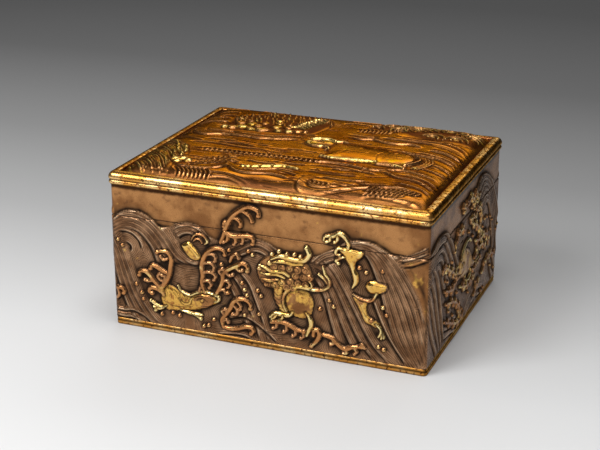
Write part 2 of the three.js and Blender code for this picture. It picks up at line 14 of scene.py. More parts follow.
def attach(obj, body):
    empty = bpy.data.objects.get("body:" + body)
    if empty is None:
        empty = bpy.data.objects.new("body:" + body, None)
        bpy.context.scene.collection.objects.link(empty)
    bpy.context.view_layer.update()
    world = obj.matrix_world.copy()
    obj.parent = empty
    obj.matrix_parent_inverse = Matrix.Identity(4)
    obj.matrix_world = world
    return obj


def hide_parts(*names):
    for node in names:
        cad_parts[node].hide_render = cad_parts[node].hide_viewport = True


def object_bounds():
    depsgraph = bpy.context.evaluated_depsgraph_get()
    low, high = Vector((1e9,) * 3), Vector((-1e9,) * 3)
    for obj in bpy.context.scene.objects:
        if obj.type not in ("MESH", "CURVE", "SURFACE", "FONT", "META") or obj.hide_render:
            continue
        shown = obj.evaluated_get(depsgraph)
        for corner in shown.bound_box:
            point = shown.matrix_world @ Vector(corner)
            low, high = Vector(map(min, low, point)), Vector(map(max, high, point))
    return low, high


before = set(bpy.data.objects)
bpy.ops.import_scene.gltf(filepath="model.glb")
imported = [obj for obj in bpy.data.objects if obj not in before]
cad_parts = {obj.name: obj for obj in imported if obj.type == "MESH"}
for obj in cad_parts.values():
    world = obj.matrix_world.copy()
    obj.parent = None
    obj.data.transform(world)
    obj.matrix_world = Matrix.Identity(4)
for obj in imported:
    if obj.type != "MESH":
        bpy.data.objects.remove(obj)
CAD_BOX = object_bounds()

LOG = logging.getLogger("lidded_box")
MM = 0.001
FRAME_WIDTH, FRAME_DEPTH, _ = (round((high - low) / MM, 1) for low, high in zip(*CAD_BOX))
PITCH = 0.3  # of the walls' grids
LID_PITCH = 0.36
GROUND_INSET = 0.9  # from the frame's outer edge in to the walls' ground
CORNER_RADIUS = 1.5
DEEPEST_CUT = 0.4
HATCH_REACH = 9.0  # how far from a line the water's hatching follows it
WATER_LIFT = 0.15  # of water over the plain ground
TAPER = 0.35  # share of a strand's length over which each end narrows
RIDGE_ENDS = 0.12  # share of a ridge's length over which each end fades, and the same of a bank's
BANK_ENDS = 0.15
BANK_FACE = 0.4  # how far out a bank's edge drops off
DIRT_OVERLAP = 0.15  # how far the dirt of a groove laps over the form that it goes round
CLAW_SPREAD = math.radians(62)  # between a claw of foam and its stem
CLAW_CURL = 0.17  # how much more a claw bends at each of its steps
CLAW_STEPS = 6

# Width and depth of the line that is chased round a strand, a drop and a puffed form
STRAND_LINE = (0.7, 0.18)
DROP_LINE = (0.5, 0.16)
FORM_LINE = (0.6, 0.2)

Grid = np.ndarray
Material = bpy.types.Material
Socket = bpy.types.NodeSocket
Points = list[tuple[float, float]]
Place = tuple[float, float, float]
Window = tuple[slice, slice]


def smooth_step(value: Grid) -> Grid:
    """Eases a 0 to 1 value, clamped at both ends."""
    clamped = np.clip(value, 0.0, 1.0)
    return clamped * clamped * (3.0 - 2.0 * clamped)


def faded(along: Grid, share: float) -> Grid:
    """Rises from 0 to 1 over a share of a line at its start, and falls back over as much at its end."""
    return smooth_step(along / share) * smooth_step((1.0 - along) / share)


def smooth_line(points: Points, per_span: int, closed: bool = False) -> Grid:
    """Samples a Catmull-Rom curve through given points.

    Args:
        points: the points that the curve passes through.
        per_span: how many samples each stretch gets.
        closed: whether the last point runs on to the first.

    Returns:
        The samples, one row each.
    """
    raw = np.array(points, float)
    if closed:
        padded = np.vstack([raw[-1], raw, raw[0], raw[1]])
    else:
        padded = np.vstack([2 * raw[0] - raw[1], raw, 2 * raw[-1] - raw[-2]])
    t = np.linspace(0.0, 1.0, per_span, endpoint=False)[:, None]
    spans = []
    for a, b, c, d in zip(padded, padded[1:], padded[2:], padded[3:]):
        bend = (2 * a - 5 * b + 4 * c - d) * t**2 + (3 * b - a - 3 * c + d) * t**3
        spans.append(0.5 * (2 * b + (c - a) * t + bend))
    if not closed:
        spans.append(raw[-1:])
    return np.vstack(spans)


def blurred(values: Grid, cells: int) -> Grid:
    """Blurs a grid with three box passes.

    Args:
        values: the grid.
        cells: half of a pass's width.

    Returns:
        The blurred grid.
    """
    result = values
    for axis in (0, 1, 0, 1, 0, 1):
        width = [(0, 0), (0, 0)]
        width[axis] = (cells + 1, cells)
        sums = np.cumsum(np.pad(result, width, mode="edge"), axis=axis)
        span = 2 * cells + 1
        high = sums[span:] if axis == 0 else sums[:, span:]
        low = sums[:-span] if axis == 0 else sums[:, :-span]
        result = (high - low) / span
    return result


def holds(ring: Grid, u: float, v: float) -> bool:
    """Whether a place lies inside a ring.

    Args:
        ring: its points, which close on the first.
        u: the place along the face.
        v: the place up the face.

    Returns:
        True where it does.
    """
    after = np.roll(ring, -1, axis=0)
    crosses = (ring[:, 1] > v) != (after[:, 1] > v)
    rise = np.where(after[:, 1] == ring[:, 1], 1.0, after[:, 1] - ring[:, 1])
    places = ring[:, 0] + (after[:, 0] - ring[:, 0]) * (v - ring[:, 1]) / rise
    return bool(np.count_nonzero(crosses & (u < places)) % 2)


def rounded_off(height: Grid, start: float, limit: float) -> Grid:
    """Keeps heights under a limit and above the deepest cut.

    Args:
        height: the heights.
        start: where they begin to ease towards the limit.
        limit: the limit.

    Returns:
        The kept heights.
    """
    over = np.clip(height - start, 0.0, None)
    room = limit - start
    eased = np.minimum(height, start) + room * (1.0 - np.exp(-over / room))
    return np.maximum(eased, -DEEPEST_CUT)


@dataclass(frozen=True)
class Strand:
    """A round strand of foam, horn or limb: where it runs and how thick it is.

    ends holds its width at its two ends as shares of the full one, and bulb the radius of the knob at its
    tip.
    """

    points: Points
    width: float
    height: float
    lift: float = 0.3
    gilt: float = 0.5
    ends: tuple[float, float] = (0.45, 0.75)
    bulb: float = 0.0


class ReliefSheet:
    """One face's relief over a grid of points: heights and finishes, drawn in millimetres.

    u runs along the face from its middle and v up it from the ground, or from front to back on the lid.
    """

    def __init__(self, us: Grid, vs: Grid) -> None:
        """Lays out a bare sheet.

        Args:
            us: the grid's columns.
            vs: the grid's rows.
        """
        self.us = us
        self.vs = vs
        self.u, self.v = np.meshgrid(us, vs)
        self.height = np.zeros_like(self.u)
        self.gilt = np.zeros_like(self.u)
        self.grain = np.full_like(self.u, 40.0)
        self.water = np.zeros_like(self.u)
        # Darkening by dirt and painted shade in chased lines and grooves, and painted shade under ridges and
        # banks and in the rocks' gaps
        self.ink = np.zeros_like(self.u)

    def window(self, low: Grid, high: Grid) -> Window:
        """The grid's rows and columns between two corners."""
        columns = slice(*np.searchsorted(self.us, [low[0], high[0]]))
        rows = slice(*np.searchsorted(self.vs, [low[1], high[1]]))
        return rows, columns

    def around(self, u: float, v: float, radius: float) -> tuple[Window, Grid]:
        """Finds the window round a spot, to 1 mm beyond a radius.

        Args:
            u: the spot along the face.
            v: the spot up the face.
            radius: the radius.

        Returns:
            The window, and how far its points are from the spot.
        """
        centre = np.array([u, v])
        where = self.window(centre - radius - 1, centre + radius + 1)
        return where, np.hypot(self.u[where] - u, self.v[where] - v)

    def near(self, line: Grid, reach: float) -> tuple[Window, Grid, Grid]:
        """Measures the grid's points against a line.

        Args:
            line: the line's samples.
            reach: how far from it the measure is needed.

        Returns:
            The window of the grid, the signed distance there (left of the line is positive) and how far along
            the line each point's nearest place is, from 0 to 1.
        """
        where = self.window(line.min(0) - reach, line.max(0) + reach)
        u, v = self.u[where], self.v[where]
        best = np.full(u.shape, 1e9)
        along = np.zeros(u.shape)
        sign = np.ones(u.shape)
        steps = np.diff(line, axis=0)
        lengths = np.hypot(steps[:, 0], steps[:, 1])
        total = lengths.sum()
        run = 0.0
        for start, step, length in zip(line, steps, lengths):
            if length < 1e-9:
                continue
            du, dv = u - start[0], v - start[1]
            s = np.clip((du * step[0] + dv * step[1]) / length**2, 0.0, 1.0)
            eu, ev = du - s * step[0], dv - s * step[1]
            squared = eu * eu + ev * ev
            closer = squared < best
            best = np.where(closer, squared, best)
            along = np.where(closer, (run + s * length) / total, along)
            sign = np.where(closer, np.sign(step[0] * dv - step[1] * du), sign)
            run += length
        return where, np.sqrt(best) * sign, along

    def inside(self, outline: Points, reach: float = 1.0) -> tuple[Window, Grid]:
        """Signed distance to a smooth closed outline, positive inside, over the window round it."""
        curve = smooth_line(outline, 8, closed=True)
        ring = np.vstack([curve, curve[:1]])
        where, distance, _ = self.near(ring, reach)
        u, v = self.u[where], self.v[where]
        within = np.zeros(u.shape, bool)
        for (au, av), (bu, bv) in zip(ring, ring[1:]):
            if av == bv:
                continue
            crosses = (av > v) != (bv > v)
            within ^= crosses & (u < (bu - au) * (v - av) / (bv - av) + au)
        return where, np.where(within, np.abs(distance), -np.abs(distance))

    def raise_to(self, where: Window, top: Grid, mask: Grid, gilt: float) -> None:
        """Raises the sheet to a new surface where that is higher, and gilds what it raises.

        Args:
            where: the window that it lies in.
            top: its heights.
            mask: where it counts.
            gilt: how much gold it keeps.
        """
        wins = mask & (top > self.height[where])
        self.height[where] = np.where(wins, top, self.height[where])
        self.gilt[where] = np.where(wins, gilt, self.gilt[where])
        self.ink[where] = np.where(wins, 0.0, self.ink[where])

    def groove(self, where: Window, beyond: Grid, width: float, depth: float,
               strength: float = 1.0) -> None:
        """Cuts a soft groove round a form and darkens it, with dirt and painted shade.

        Args:
            where: the window that it lies in.
            beyond: how far outside the form each point is.
            width: the groove's width.
            depth: its depth.
            strength: how strongly it is cut, from 0 to 1.
        """
        ring = strength * np.clip(1.0 - beyond / width, 0.0, 1.0) * (beyond > -DIRT_OVERLAP)
        self.height[where] -= depth * ring * (beyond > 0.0)
        self.ink[where] = np.maximum(self.ink[where], ring)

    def join(self, strands: list[Strand]) -> None:
        """Raises strands that grow out of one another, with a groove chased round them all together."""
        measured = []
        for strand in strands:
            line = smooth_line(strand.points, 6)
            where, distance, along = self.near(line, strand.width + 1.0)
            first, last = strand.ends
            swell = (first + (1 - first) * smooth_step(along / TAPER)) * (
                last + (1 - last) * smooth_step((1 - along) / TAPER))
            half = 0.5 * strand.width * swell
            self.groove(where, np.abs(distance) - half, *STRAND_LINE)
            measured.append((where, np.abs(distance) / half, swell, line[-1]))
            if strand.bulb:
                self.encircle(*line[-1], strand.bulb)
        for strand, (where, across, swell, tip) in zip(strands, measured):
            round_top = np.sqrt(np.clip(1.0 - across**2, 0.0, 1.0))
            top = strand.lift + strand.height * (0.6 + 0.4 * swell) * round_top
            self.raise_to(where, top, across < 1.0, strand.gilt)
            if strand.bulb:
                self.dome(*tip, strand.bulb, strand.lift + strand.height - 0.6 * strand.bulb, strand.gilt)

    def rod(self, points: Points, width: float, height: float, lift: float = 0.3, gilt: float = 0.5,
            ends: tuple[float, float] = (0.45, 0.75), bulb: float = 0.0) -> None:
        """Raises one strand on its own. Its arguments are those of Strand."""
        self.join([Strand(points, width, height, lift, gilt, ends, bulb)])

    def encircle(self, u: float, v: float, radius: float) -> None:
        """Chases a fine line round a spot."""
        where, away = self.around(u, v, radius)
        self.groove(where, away - radius, *DROP_LINE)

    def dome(self, u: float, v: float, radius: float, lift: float, gilt: float) -> None:
        """Raises half a ball with no groove round it."""
        where, away = self.around(u, v, radius)
        top = lift + np.sqrt(np.clip(radius**2 - away**2, 0.0, None))
        self.raise_to(where, top, away < radius, gilt)

    def pearl(self, u: float, v: float, radius: float = 0.85, lift: float = 0.3, gilt: float = 0.35) -> None:
        """Raises a round drop of spray."""
        self.encircle(u, v, radius)
        self.dome(u, v, radius, lift, gilt)

    def spray(self, places: Points) -> None:
        """Scatters drops of one size."""
        for u, v in places:
            self.pearl(u, v)

    def frond(self, stem: Points, claws: int, size: float, hands: tuple[int, ...], gilt: float) -> None:
        """Raises a stem of foam with claws that hook round on themselves.

        Args:
            stem: the points that the stem passes through.
            claws: how many claws each side has.
            size: a claw's length.
            hands: 1 for claws on the left, -1 for the right, or both.
            gilt: how much gold the foam keeps.
        """
        line = smooth_line(stem, 12)
        strands = [Strand(stem, 1.7, 0.85, gilt=gilt, ends=(0.5, 0.8), bulb=0.8)]
        for number, hand in enumerate(hands):
            for k in range(claws):
                place = int((k + 0.7 - 0.4 * number) / (claws + 0.3) * (len(line) - 2))
                step = line[place + 1] - line[place]
                heading = math.atan2(step[1], step[0]) + hand * CLAW_SPREAD
                points = [tuple(line[place])]
                for turn in range(CLAW_STEPS):
                    u, v = points[-1]
                    points.append((u + size / CLAW_STEPS * math.cos(heading),
                                   v + size / CLAW_STEPS * math.sin(heading)))
                    heading -= hand * CLAW_CURL * (turn + 1)
                strands.append(Strand(points, 1.25, 0.78, gilt=gilt, ends=(0.7, 0.8), bulb=0.72))
        self.join(strands)

    def body(self, outline: Points, height: float, edge: float, lift: float = 0.3, gilt: float = 0.9,
             chased: float = 1.0) -> None:
        """Raises a puffed form inside a closed outline.

        Args:
            outline: points round its edge.
            height: how far its middle stands over its lift.
            edge: how far in from the outline it has risen to its full height.
            lift: the level that it stands on.
            gilt: how much gold it keeps.
            chased: how strongly it is outlined.
        """
        where, inside = self.inside(outline, 2.0)
        self.groove(where, -inside, *FORM_LINE, chased)
        rise = np.clip(inside / edge, 0.0, 1.0)
        top = lift + height * (1.0 - (1.0 - rise) ** 1.8)
        self.raise_to(where, top, inside > 0.0, gilt)

    def lump(self, u: float, v: float, half_length: float, half_width: float, height: float, tilt: float,
             lift: float = 0.3, gilt: float = 0.9) -> None:
        """Raises an oval dome.

        Args:
            u: its place along the face.
            v: its place up the face.
            half_length: half of its length.
            half_width: half of its width.
            height: how far it stands over its lift.
            tilt: its turn in degrees.
            lift: the level that it stands on.
            gilt: how much gold it keeps.
        """
        where, _ = self.around(u, v, half_length)
        turn = math.radians(tilt)
        du, dv = self.u[where] - u, self.v[where] - v
        a = (du * math.cos(turn) + dv * math.sin(turn)) / half_length
        b = (dv * math.cos(turn) - du * math.sin(turn)) / half_width
        squared = a * a + b * b
        top = lift + height * np.sqrt(np.clip(1.0 - squared, 0.0, 1.0))
        self.raise_to(where, top, squared < 1.0, gilt)

    def cut(self, points: Points, width: float, depth: float) -> None:
        """Chases a line into whatever stands there and darkens it, with dirt and painted shade.

        Args:
            points: the line.
            width: its width in the middle.
            depth: its depth.
        """
        where, distance, along = self.near(smooth_line(points, 6), width)
        half = 0.5 * width * (0.4 + 0.6 * np.sin(np.pi * np.clip(along, 0.0, 1.0)) ** 0.5)
        notch = np.clip(1.0 - (distance / half) ** 2, 0.0, 1.0)
        self.height[where] -= depth * notch
        self.ink[where] = np.maximum(self.ink[where], notch * min(1.0, 2.4 * depth))

    def flow(self, points: Points, reach: float = HATCH_REACH) -> None:
        """Leads the hatching along a line without raising anything."""
        where, distance, _ = self.near(smooth_line(points, 8), reach)
        self.grain[where] = np.minimum(self.grain[where], np.abs(distance))

    def ridge(self, points: Points, width: float, height: float, steep: float) -> None:
        """Raises a crest of water.

        Args:
            points: the crest's line.
            width: how wide the gentle slope to its left is.
            height: how far it stands over the water.
            steep: the width of the steep slope to its right, as a share of the gentle one's.
        """
        where, distance, along = self.near(smooth_line(points, 10), HATCH_REACH)
        self.grain[where] = np.minimum(self.grain[where], np.abs(distance))
        left = 1.0 - np.clip(distance / width, 0.0, 1.0) ** 1.3
        right = np.sqrt(np.clip(1.0 + distance / (width * steep), 0.0, 1.0))
        fade = faded(along, RIDGE_ENDS)
        top = 0.1 + height * fade * np.where(distance >= 0.0, left, right)
        mask = (np.abs(distance) < width) & (self.water[where] > 0.5)
        self.raise_to(where, top, mask, 0.0)
        # A groove at the foot of the steep slope, and painted shade that fades away beyond it, darken the
        # water there
        beyond = distance + width * steep
        wet = fade * (self.water[where] > 0.5)
        foot = np.exp(-(((beyond + 0.2) / 0.5) ** 2)) * wet
        shade = 0.45 * np.exp(-np.clip(-beyond, 0.0, None) / 1.3) * (beyond < 0.0) * wet
        self.height[where] -= 0.48 * foot
        self.ink[where] = np.maximum(self.ink[where], np.maximum(foot, shade))

    def bank(self, points: Points, width: float, height: float) -> None:
        """Raises one sheet of smooth water over the next: it swells up to its near edge and drops off there.

        Args:
            points: the edge, from left to right.
            width: how far behind the edge the swell begins.
            height: how far the edge stands over the water in front of it.
        """
        where, distance, along = self.near(smooth_line(points, 8), width)
        fade = faded(along, BANK_ENDS)
        behind = np.clip(1.0 - distance / width, 0.0, 1.0) ** 1.6
        drop = np.sqrt(np.clip(1.0 + distance / BANK_FACE, 0.0, 1.0))
        top = height * fade * np.where(distance >= 0.0, behind, drop)
        self.raise_to(where, top, (distance > -BANK_FACE) & (distance < width), 0.0)
        # A groove under the edge, darkened with dirt and with painted shade under the edge's lip
        foot = np.exp(-(((distance + 0.85) / 0.55) ** 2)) * fade
        self.height[where] -= 0.3 * foot
        self.ink[where] = np.maximum(self.ink[where], 0.95 * foot)

    def swell(self, outer: Points, inner: Points, ridges: int, width: float, height: float,
              steep: float = 0.22) -> None:
        """Raises a body of water as ridges set evenly from its outer line to its inner one."""
        a, b = np.array(outer), np.array(inner)
        for t in np.linspace(0.0, 1.0, ridges):
            self.ridge(list(map(tuple, a + t * (b - a))), width, 1.35 * height * (1.0 - 0.25 * t), steep)

    def gild(self, outline: Points, gilt: float) -> None:
        """Leaves a wash of gold inside a closed outline, fading over its edge."""
        where, inside = self.inside(outline)
        self.gilt[where] = np.maximum(self.gilt[where], gilt * smooth_step(inside / 1.6 + 0.3))

    def shade(self, outline: Points, amount: float) -> None:
        """Darkens the ground inside a closed outline: a darker patina, and painted shade in the gaps between
        raised strokes.
        """
        where, inside = self.inside(outline)
        self.ink[where] = np.maximum(self.ink[where], amount * smooth_step(inside / 1.5))

    def strokes(self, outline: Points, gaps: tuple[float, float], reach: tuple[float, float], width: float,
                lift: float, gilt: float, seed: int) -> None:
        """Fills an outline with short bent strokes in staggered rows.

        Args:
            outline: points round the area.
            gaps: how far apart the strokes stand along u and along v.
            reach: half of one stroke, as steps along u and v.
            width: a stroke's width.
            lift: the level that they stand on.
            gilt: how much gold they keep.
            seed: picks their unevenness.
        """
        chance = np.random.default_rng(seed)
        ring = np.array(outline)
        low, high = ring.min(0), ring.max(0)
        for row, v in enumerate(np.arange(high[1], low[1], -gaps[1])):
            for u in np.arange(low[0] + 0.5 * gaps[0] * (row % 2), high[0], gaps[0]):
                du, dv, long, bright, bend = chance.uniform(-1.0, 1.0, 5)
                x, y = u + 0.3 * gaps[0] * du, v + 0.25 * gaps[1] * dv
                if not holds(ring, x, y):
                    continue
                a, b = reach[0] * (1 + 0.3 * long), reach[1] * (1 + 0.3 * long)
                turn = 0.35 * bend * width
                line = [(x - a, y - b), (x + turn, y + turn), (x + a, y + b)]
                # A dark line under each stroke: a chased line, and painted shade under the stroke
                self.cut([(p - 0.62 * width, q - 0.3 * width) for p, q in line], 0.9, 0.3)
                self.rod(line, width, 0.42, lift + 0.12 * bright, gilt=gilt * (0.75 + 0.35 * bright),
                         ends=(0.3, 0.3))

    def sea(self, outline: Points) -> None:
        """Marks the water inside a closed outline and lifts it a little over the plain ground."""
        where, inside = self.inside(outline)
        self.water[where] = np.maximum(self.water[where], smooth_step(inside / 0.5 + 0.5))
        self.height[where] = np.maximum(self.height[where], WATER_LIFT * smooth_step(inside / 0.6))


@dataclass(frozen=True)
class Side:
    """One of the four sides: its name, its quarter turns from the front, its length and depth across."""

    name: str
    turn: int
    span: float
    cross: float


class Finish(Enum):
    """The record's slots that the finishes stand for."""

    WALL = "chased_copper"
    RAIL = "gilt_moulding"
    PANEL = "lid_panel"
    BASE = "base_copper"
    LINING = "gold_wash"


SIDES = (Side("front", 0, FRAME_WIDTH, FRAME_DEPTH), Side("right", 1, FRAME_DEPTH, FRAME_WIDTH),
         Side("back", 2, FRAME_WIDTH, FRAME_DEPTH), Side("left", 3, FRAME_DEPTH, FRAME_WIDTH))


def draw_front(s: ReliefSheet) -> None:
    """Front: a breaking wave, a gilt fish-beast, a lion-dog and a tall falling wave, under a bare band.

    Args:
        s: the sheet.
    """
    s.sea([(-70, 0), (-70, 41), (-64.3, 43.2), (-61.8, 46.3), (-58.5, 48.3), (-54.3, 49.2), (-50.2, 48.5),
           (-46.4, 46.5), (-43.1, 43.8), (-38.5, 44.6), (-35.6, 46.3), (-31, 47.2), (-26, 46.3), (-22, 42.8),
           (-17, 42), (-10, 42.6), (-4, 44.6), (2, 43.6), (7, 41), (13, 40), (20.5, 41), (25, 43.4),
           (29.6, 45.8), (31.8, 47.9), (35.2, 49.2), (39.3, 49.8), (43.5, 49.2), (47.3, 47.5), (51, 45.8),
           (56, 46.6), (60, 48.6), (64, 51), (70, 53), (70, 0)])
    s.swell([(-66, 41.4), (-61.8, 46.3), (-54.3, 49.2), (-46.4, 46.5), (-40.2, 40.8), (-35, 33.6),
             (-29, 30.8), (-24, 33)],
            [(-66, 36), (-63, 39.6), (-58.1, 41.8), (-52.3, 40.8), (-48, 37), (-46, 33.8), (-45, 31),
             (-44, 28)], 5, 3.4, 0.5)
    s.swell([(-63.6, 37.4), (-60, 40), (-55.5, 39.6), (-52, 36.6), (-51, 33)],
            [(-61, 34), (-58, 35.6), (-56, 34.6), (-55.6, 33), (-56.6, 31.6)], 2, 1.6, 0.3)
    s.swell([(-64.8, 41), (-61, 35), (-57.3, 25), (-53.5, 15), (-48.1, 6.7), (-43, 2)],
            [(-66, 33), (-64, 28), (-62.4, 21), (-60.4, 14), (-58, 8), (-54, 2)], 4, 3.0, 0.45)
    s.swell([(-66, 7), (-61, 6.2), (-56, 6.9), (-51, 5.2), (-47, 2)],
            [(-66, 4.4), (-61, 3.6), (-57, 3.8), (-54, 3), (-52, 2)], 2, 1.8, 0.4)
    s.swell([(-38.1, 44.4), (-35.6, 46.1), (-31, 47.1), (-26, 46.2), (-23, 44), (-21.4, 40.6)],
            [(-35.6, 40.5), (-33.6, 42), (-31.4, 42.8), (-29.6, 42.6), (-28.6, 41.4), (-28.4, 40)], 4, 1.7,
            0.4)
    s.flow([(-38, 29), (-32, 28), (-27, 29)])
    s.flow([(-38, 22), (-32, 21), (-27, 22)])
    s.swell([(-18, 36), (-10, 41), (-4, 44.3), (2, 43.4), (8, 39)],
            [(-14, 34), (-8, 37.6), (-3, 39.6), (1, 38.4), (4, 35)], 3, 2.2, 0.35)
    s.swell([(-10.6, 31), (-6, 26), (-3.6, 20), (-0.6, 12), (2, 3)],
            [(-16, 27), (-13, 22), (-10, 16), (-8, 11), (-5, 3)], 3, 2.6, 0.35)
    s.swell([(-16, 10), (-8, 12), (0, 8), (6, 3)], [(-20, 3), (-14, 4), (-8, 4), (-3, 2)], 2, 2.0, 0.3)
    s.swell([(29.4, 44.6), (31.8, 47.7), (39.3, 49.7), (47.3, 47.4), (53.5, 41), (59.8, 30.8), (63.1, 20.8),
             (65, 8)],
            [(36, 44), (38, 45.4), (41, 44.4), (43.6, 40), (46.6, 32), (49.4, 22), (53, 12), (60, 2)],
            6, 3.4, 0.55, 0.3)
    s.swell([(42.6, 30), (45.6, 22), (50, 13), (57, 3)], [(38.6, 18), (42, 11), (46, 6), (50, 2)], 2, 2.4,
            0.4)
    s.swell([(52, 45.6), (57, 46.8), (61, 48.8), (66, 51.8)], [(54, 42), (58, 43), (62, 45), (66, 47)], 3,
            1.6, 0.35)
    for v in (43.4, 39, 34.6, 30.2, 25.8):
        s.flow([(60, v + 0.8), (64, v), (67, v)], 2.4)
    # A thin gold wash on the corner strip by the falling wave: gilding, with a painted highlight where the
    # corner catches the light
    s.gild([(54.4, 43), (58, 45), (63.2, 46), (65, 44), (65, 24), (63.4, 22), (61, 30), (57.4, 37)], 0.27)
    s.swell([(20.2, 40), (26.8, 38), (32.3, 30), (37.3, 20.8), (43.5, 10), (52, 2)],
            [(21, 33), (23.5, 29), (25.5, 24), (27, 18), (28.8, 12), (30.6, 5)], 4, 3.2, 0.5, 0.3)
    s.swell([(19, 38), (24, 42.4), (29.6, 44.6)], [(23, 37.4), (26, 39.6), (29.6, 41)], 3, 1.6, 0.3)
    s.flow([(-2, 8), (6, 7), (14, 8), (22, 5)])
    draw_fish_beast(s)
    draw_lion_dog(s)
    draw_diving_beast(s)
    draw_front_foam(s)
    s.spray([(-61.3, 36.3), (-59.5, 34.2), (-54.1, 18.6), (-52, 15.3), (-51.3, 12.7), (-46.1, 8.8),
             (-43.4, 7.5), (-38.6, 8.8), (-35.7, 8), (-25.3, 5.3), (-23.3, 6), (-21, 8.8), (-6, 39.3),
             (-4.3, 38.1), (-17.3, 32.3), (-8.8, 26), (-7.8, 23.3), (-6.9, 21.1), (-2.4, 23.8), (-1.1, 21.8),
             (-14.7, 21), (-2, 14.3), (-7.9, 12.8), (38.1, 39.2), (40.7, 37.8), (47, 39.2), (26.5, 24.5),
             (28.2, 22.3), (22.8, 20.5), (47.3, 24.9), (48.8, 22.2), (46, 9), (47.9, 8.2), (-14, 38.6)])


def draw_fish_beast(s: ReliefSheet) -> None:
    """A gilt horned fish-beast that swims to the right, under a leaf-shaped fin of spray.

    Args:
        s: the sheet.
    """
    s.body([(-43.2, 18), (-40.6, 20.2), (-38, 19.9), (-35, 18.3), (-31.4, 17.8), (-28.6, 18.8), (-25, 19.3),
            (-22, 18.8), (-19.6, 17.4), (-19.4, 16), (-22, 14.4), (-25, 12.8), (-28.6, 11.6), (-33, 10.6),
            (-38, 9.9), (-41.6, 9.9), (-43, 12), (-43.6, 15)], 0.95, 4.6, gilt=0.92)
    for k in range(5):
        u = -41.6 + 1.9 * k
        s.cut([(u, 18.6 - 0.3 * k), (u + 1.2, 17 - 0.3 * k), (u + 0.8, 15.2)], 0.5, 0.22)
    s.cut([(-42.4, 13.4), (-38, 12), (-33, 12.2), (-29.6, 13.2)], 0.6, 0.3)
    s.lump(-25.6, 15.8, 5.2, 2.9, 1.1, 14, gilt=0.3)
    s.cut([(-28, 15.9), (-26.6, 17), (-24.6, 16.9), (-23.2, 16)], 0.7, 0.4)
    s.pearl(-25.5, 16.2, 0.75, 0.95, 0.5)
    s.cut([(-20, 15.4), (-23, 13.9), (-26, 13.9)], 0.6, 0.4)
    s.rod([(-35.4, 15.6), (-33.4, 13.8), (-31, 14.2), (-30.4, 16)], 0.9, 0.3, 0.95, gilt=1.0)
    s.rod([(-36, 21), (-34.6, 18.8), (-31, 17.6), (-28, 19), (-24.4, 20), (-21, 19.4)], 1.0, 0.8, 0.45,
          gilt=0.9)
    s.rod([(-20.4, 16.4), (-18.8, 17), (-18.6, 18.6), (-19.8, 19.2)], 1.0, 0.8, 0.5, gilt=0.9, bulb=0.6)
    s.rod([(-41, 11.6), (-43, 10.4), (-45.6, 11), (-48, 12.6)], 1.3, 0.8, 0.4, gilt=1.0, bulb=0.6)
    s.rod([(-42, 10.6), (-44.6, 9.6), (-47, 10.2)], 1.1, 0.7, 0.4, gilt=1.0)
    s.rod([(-35, 10.6), (-31, 10), (-28.4, 9.4), (-26.4, 8.2)], 1.2, 0.8, 0.4, gilt=1.0, bulb=0.6)
    s.rod([(-30, 10), (-28, 10), (-26, 9.8)], 1.0, 0.7, 0.4, gilt=0.9)
    s.body([(-33.9, 37.3), (-32.7, 38.7), (-30.6, 39.4), (-28.9, 38), (-26.8, 35.8), (-25.8, 33.6),
            (-27.7, 32.3), (-30.2, 32.7), (-32.3, 34.8)], 0.7, 1.6, gilt=1.0)
    s.cut([(-31.4, 37.4), (-29.4, 35.8), (-27.6, 33.8)], 0.5, 0.25)
    s.cut([(-32.4, 36.2), (-30.8, 34.6), (-29, 33.4)], 0.45, 0.2)
    s.rod([(-29.6, 40.6), (-28.1, 42.7), (-26, 43.3), (-23.9, 42.5), (-22.9, 40.6), (-24, 39.6)], 1.0, 0.6,
          0.4, gilt=0.5)
    s.rod([(-29, 39.8), (-27.6, 41.2), (-25.8, 41), (-25.2, 39.8)], 0.8, 0.5, 0.4, gilt=0.5)


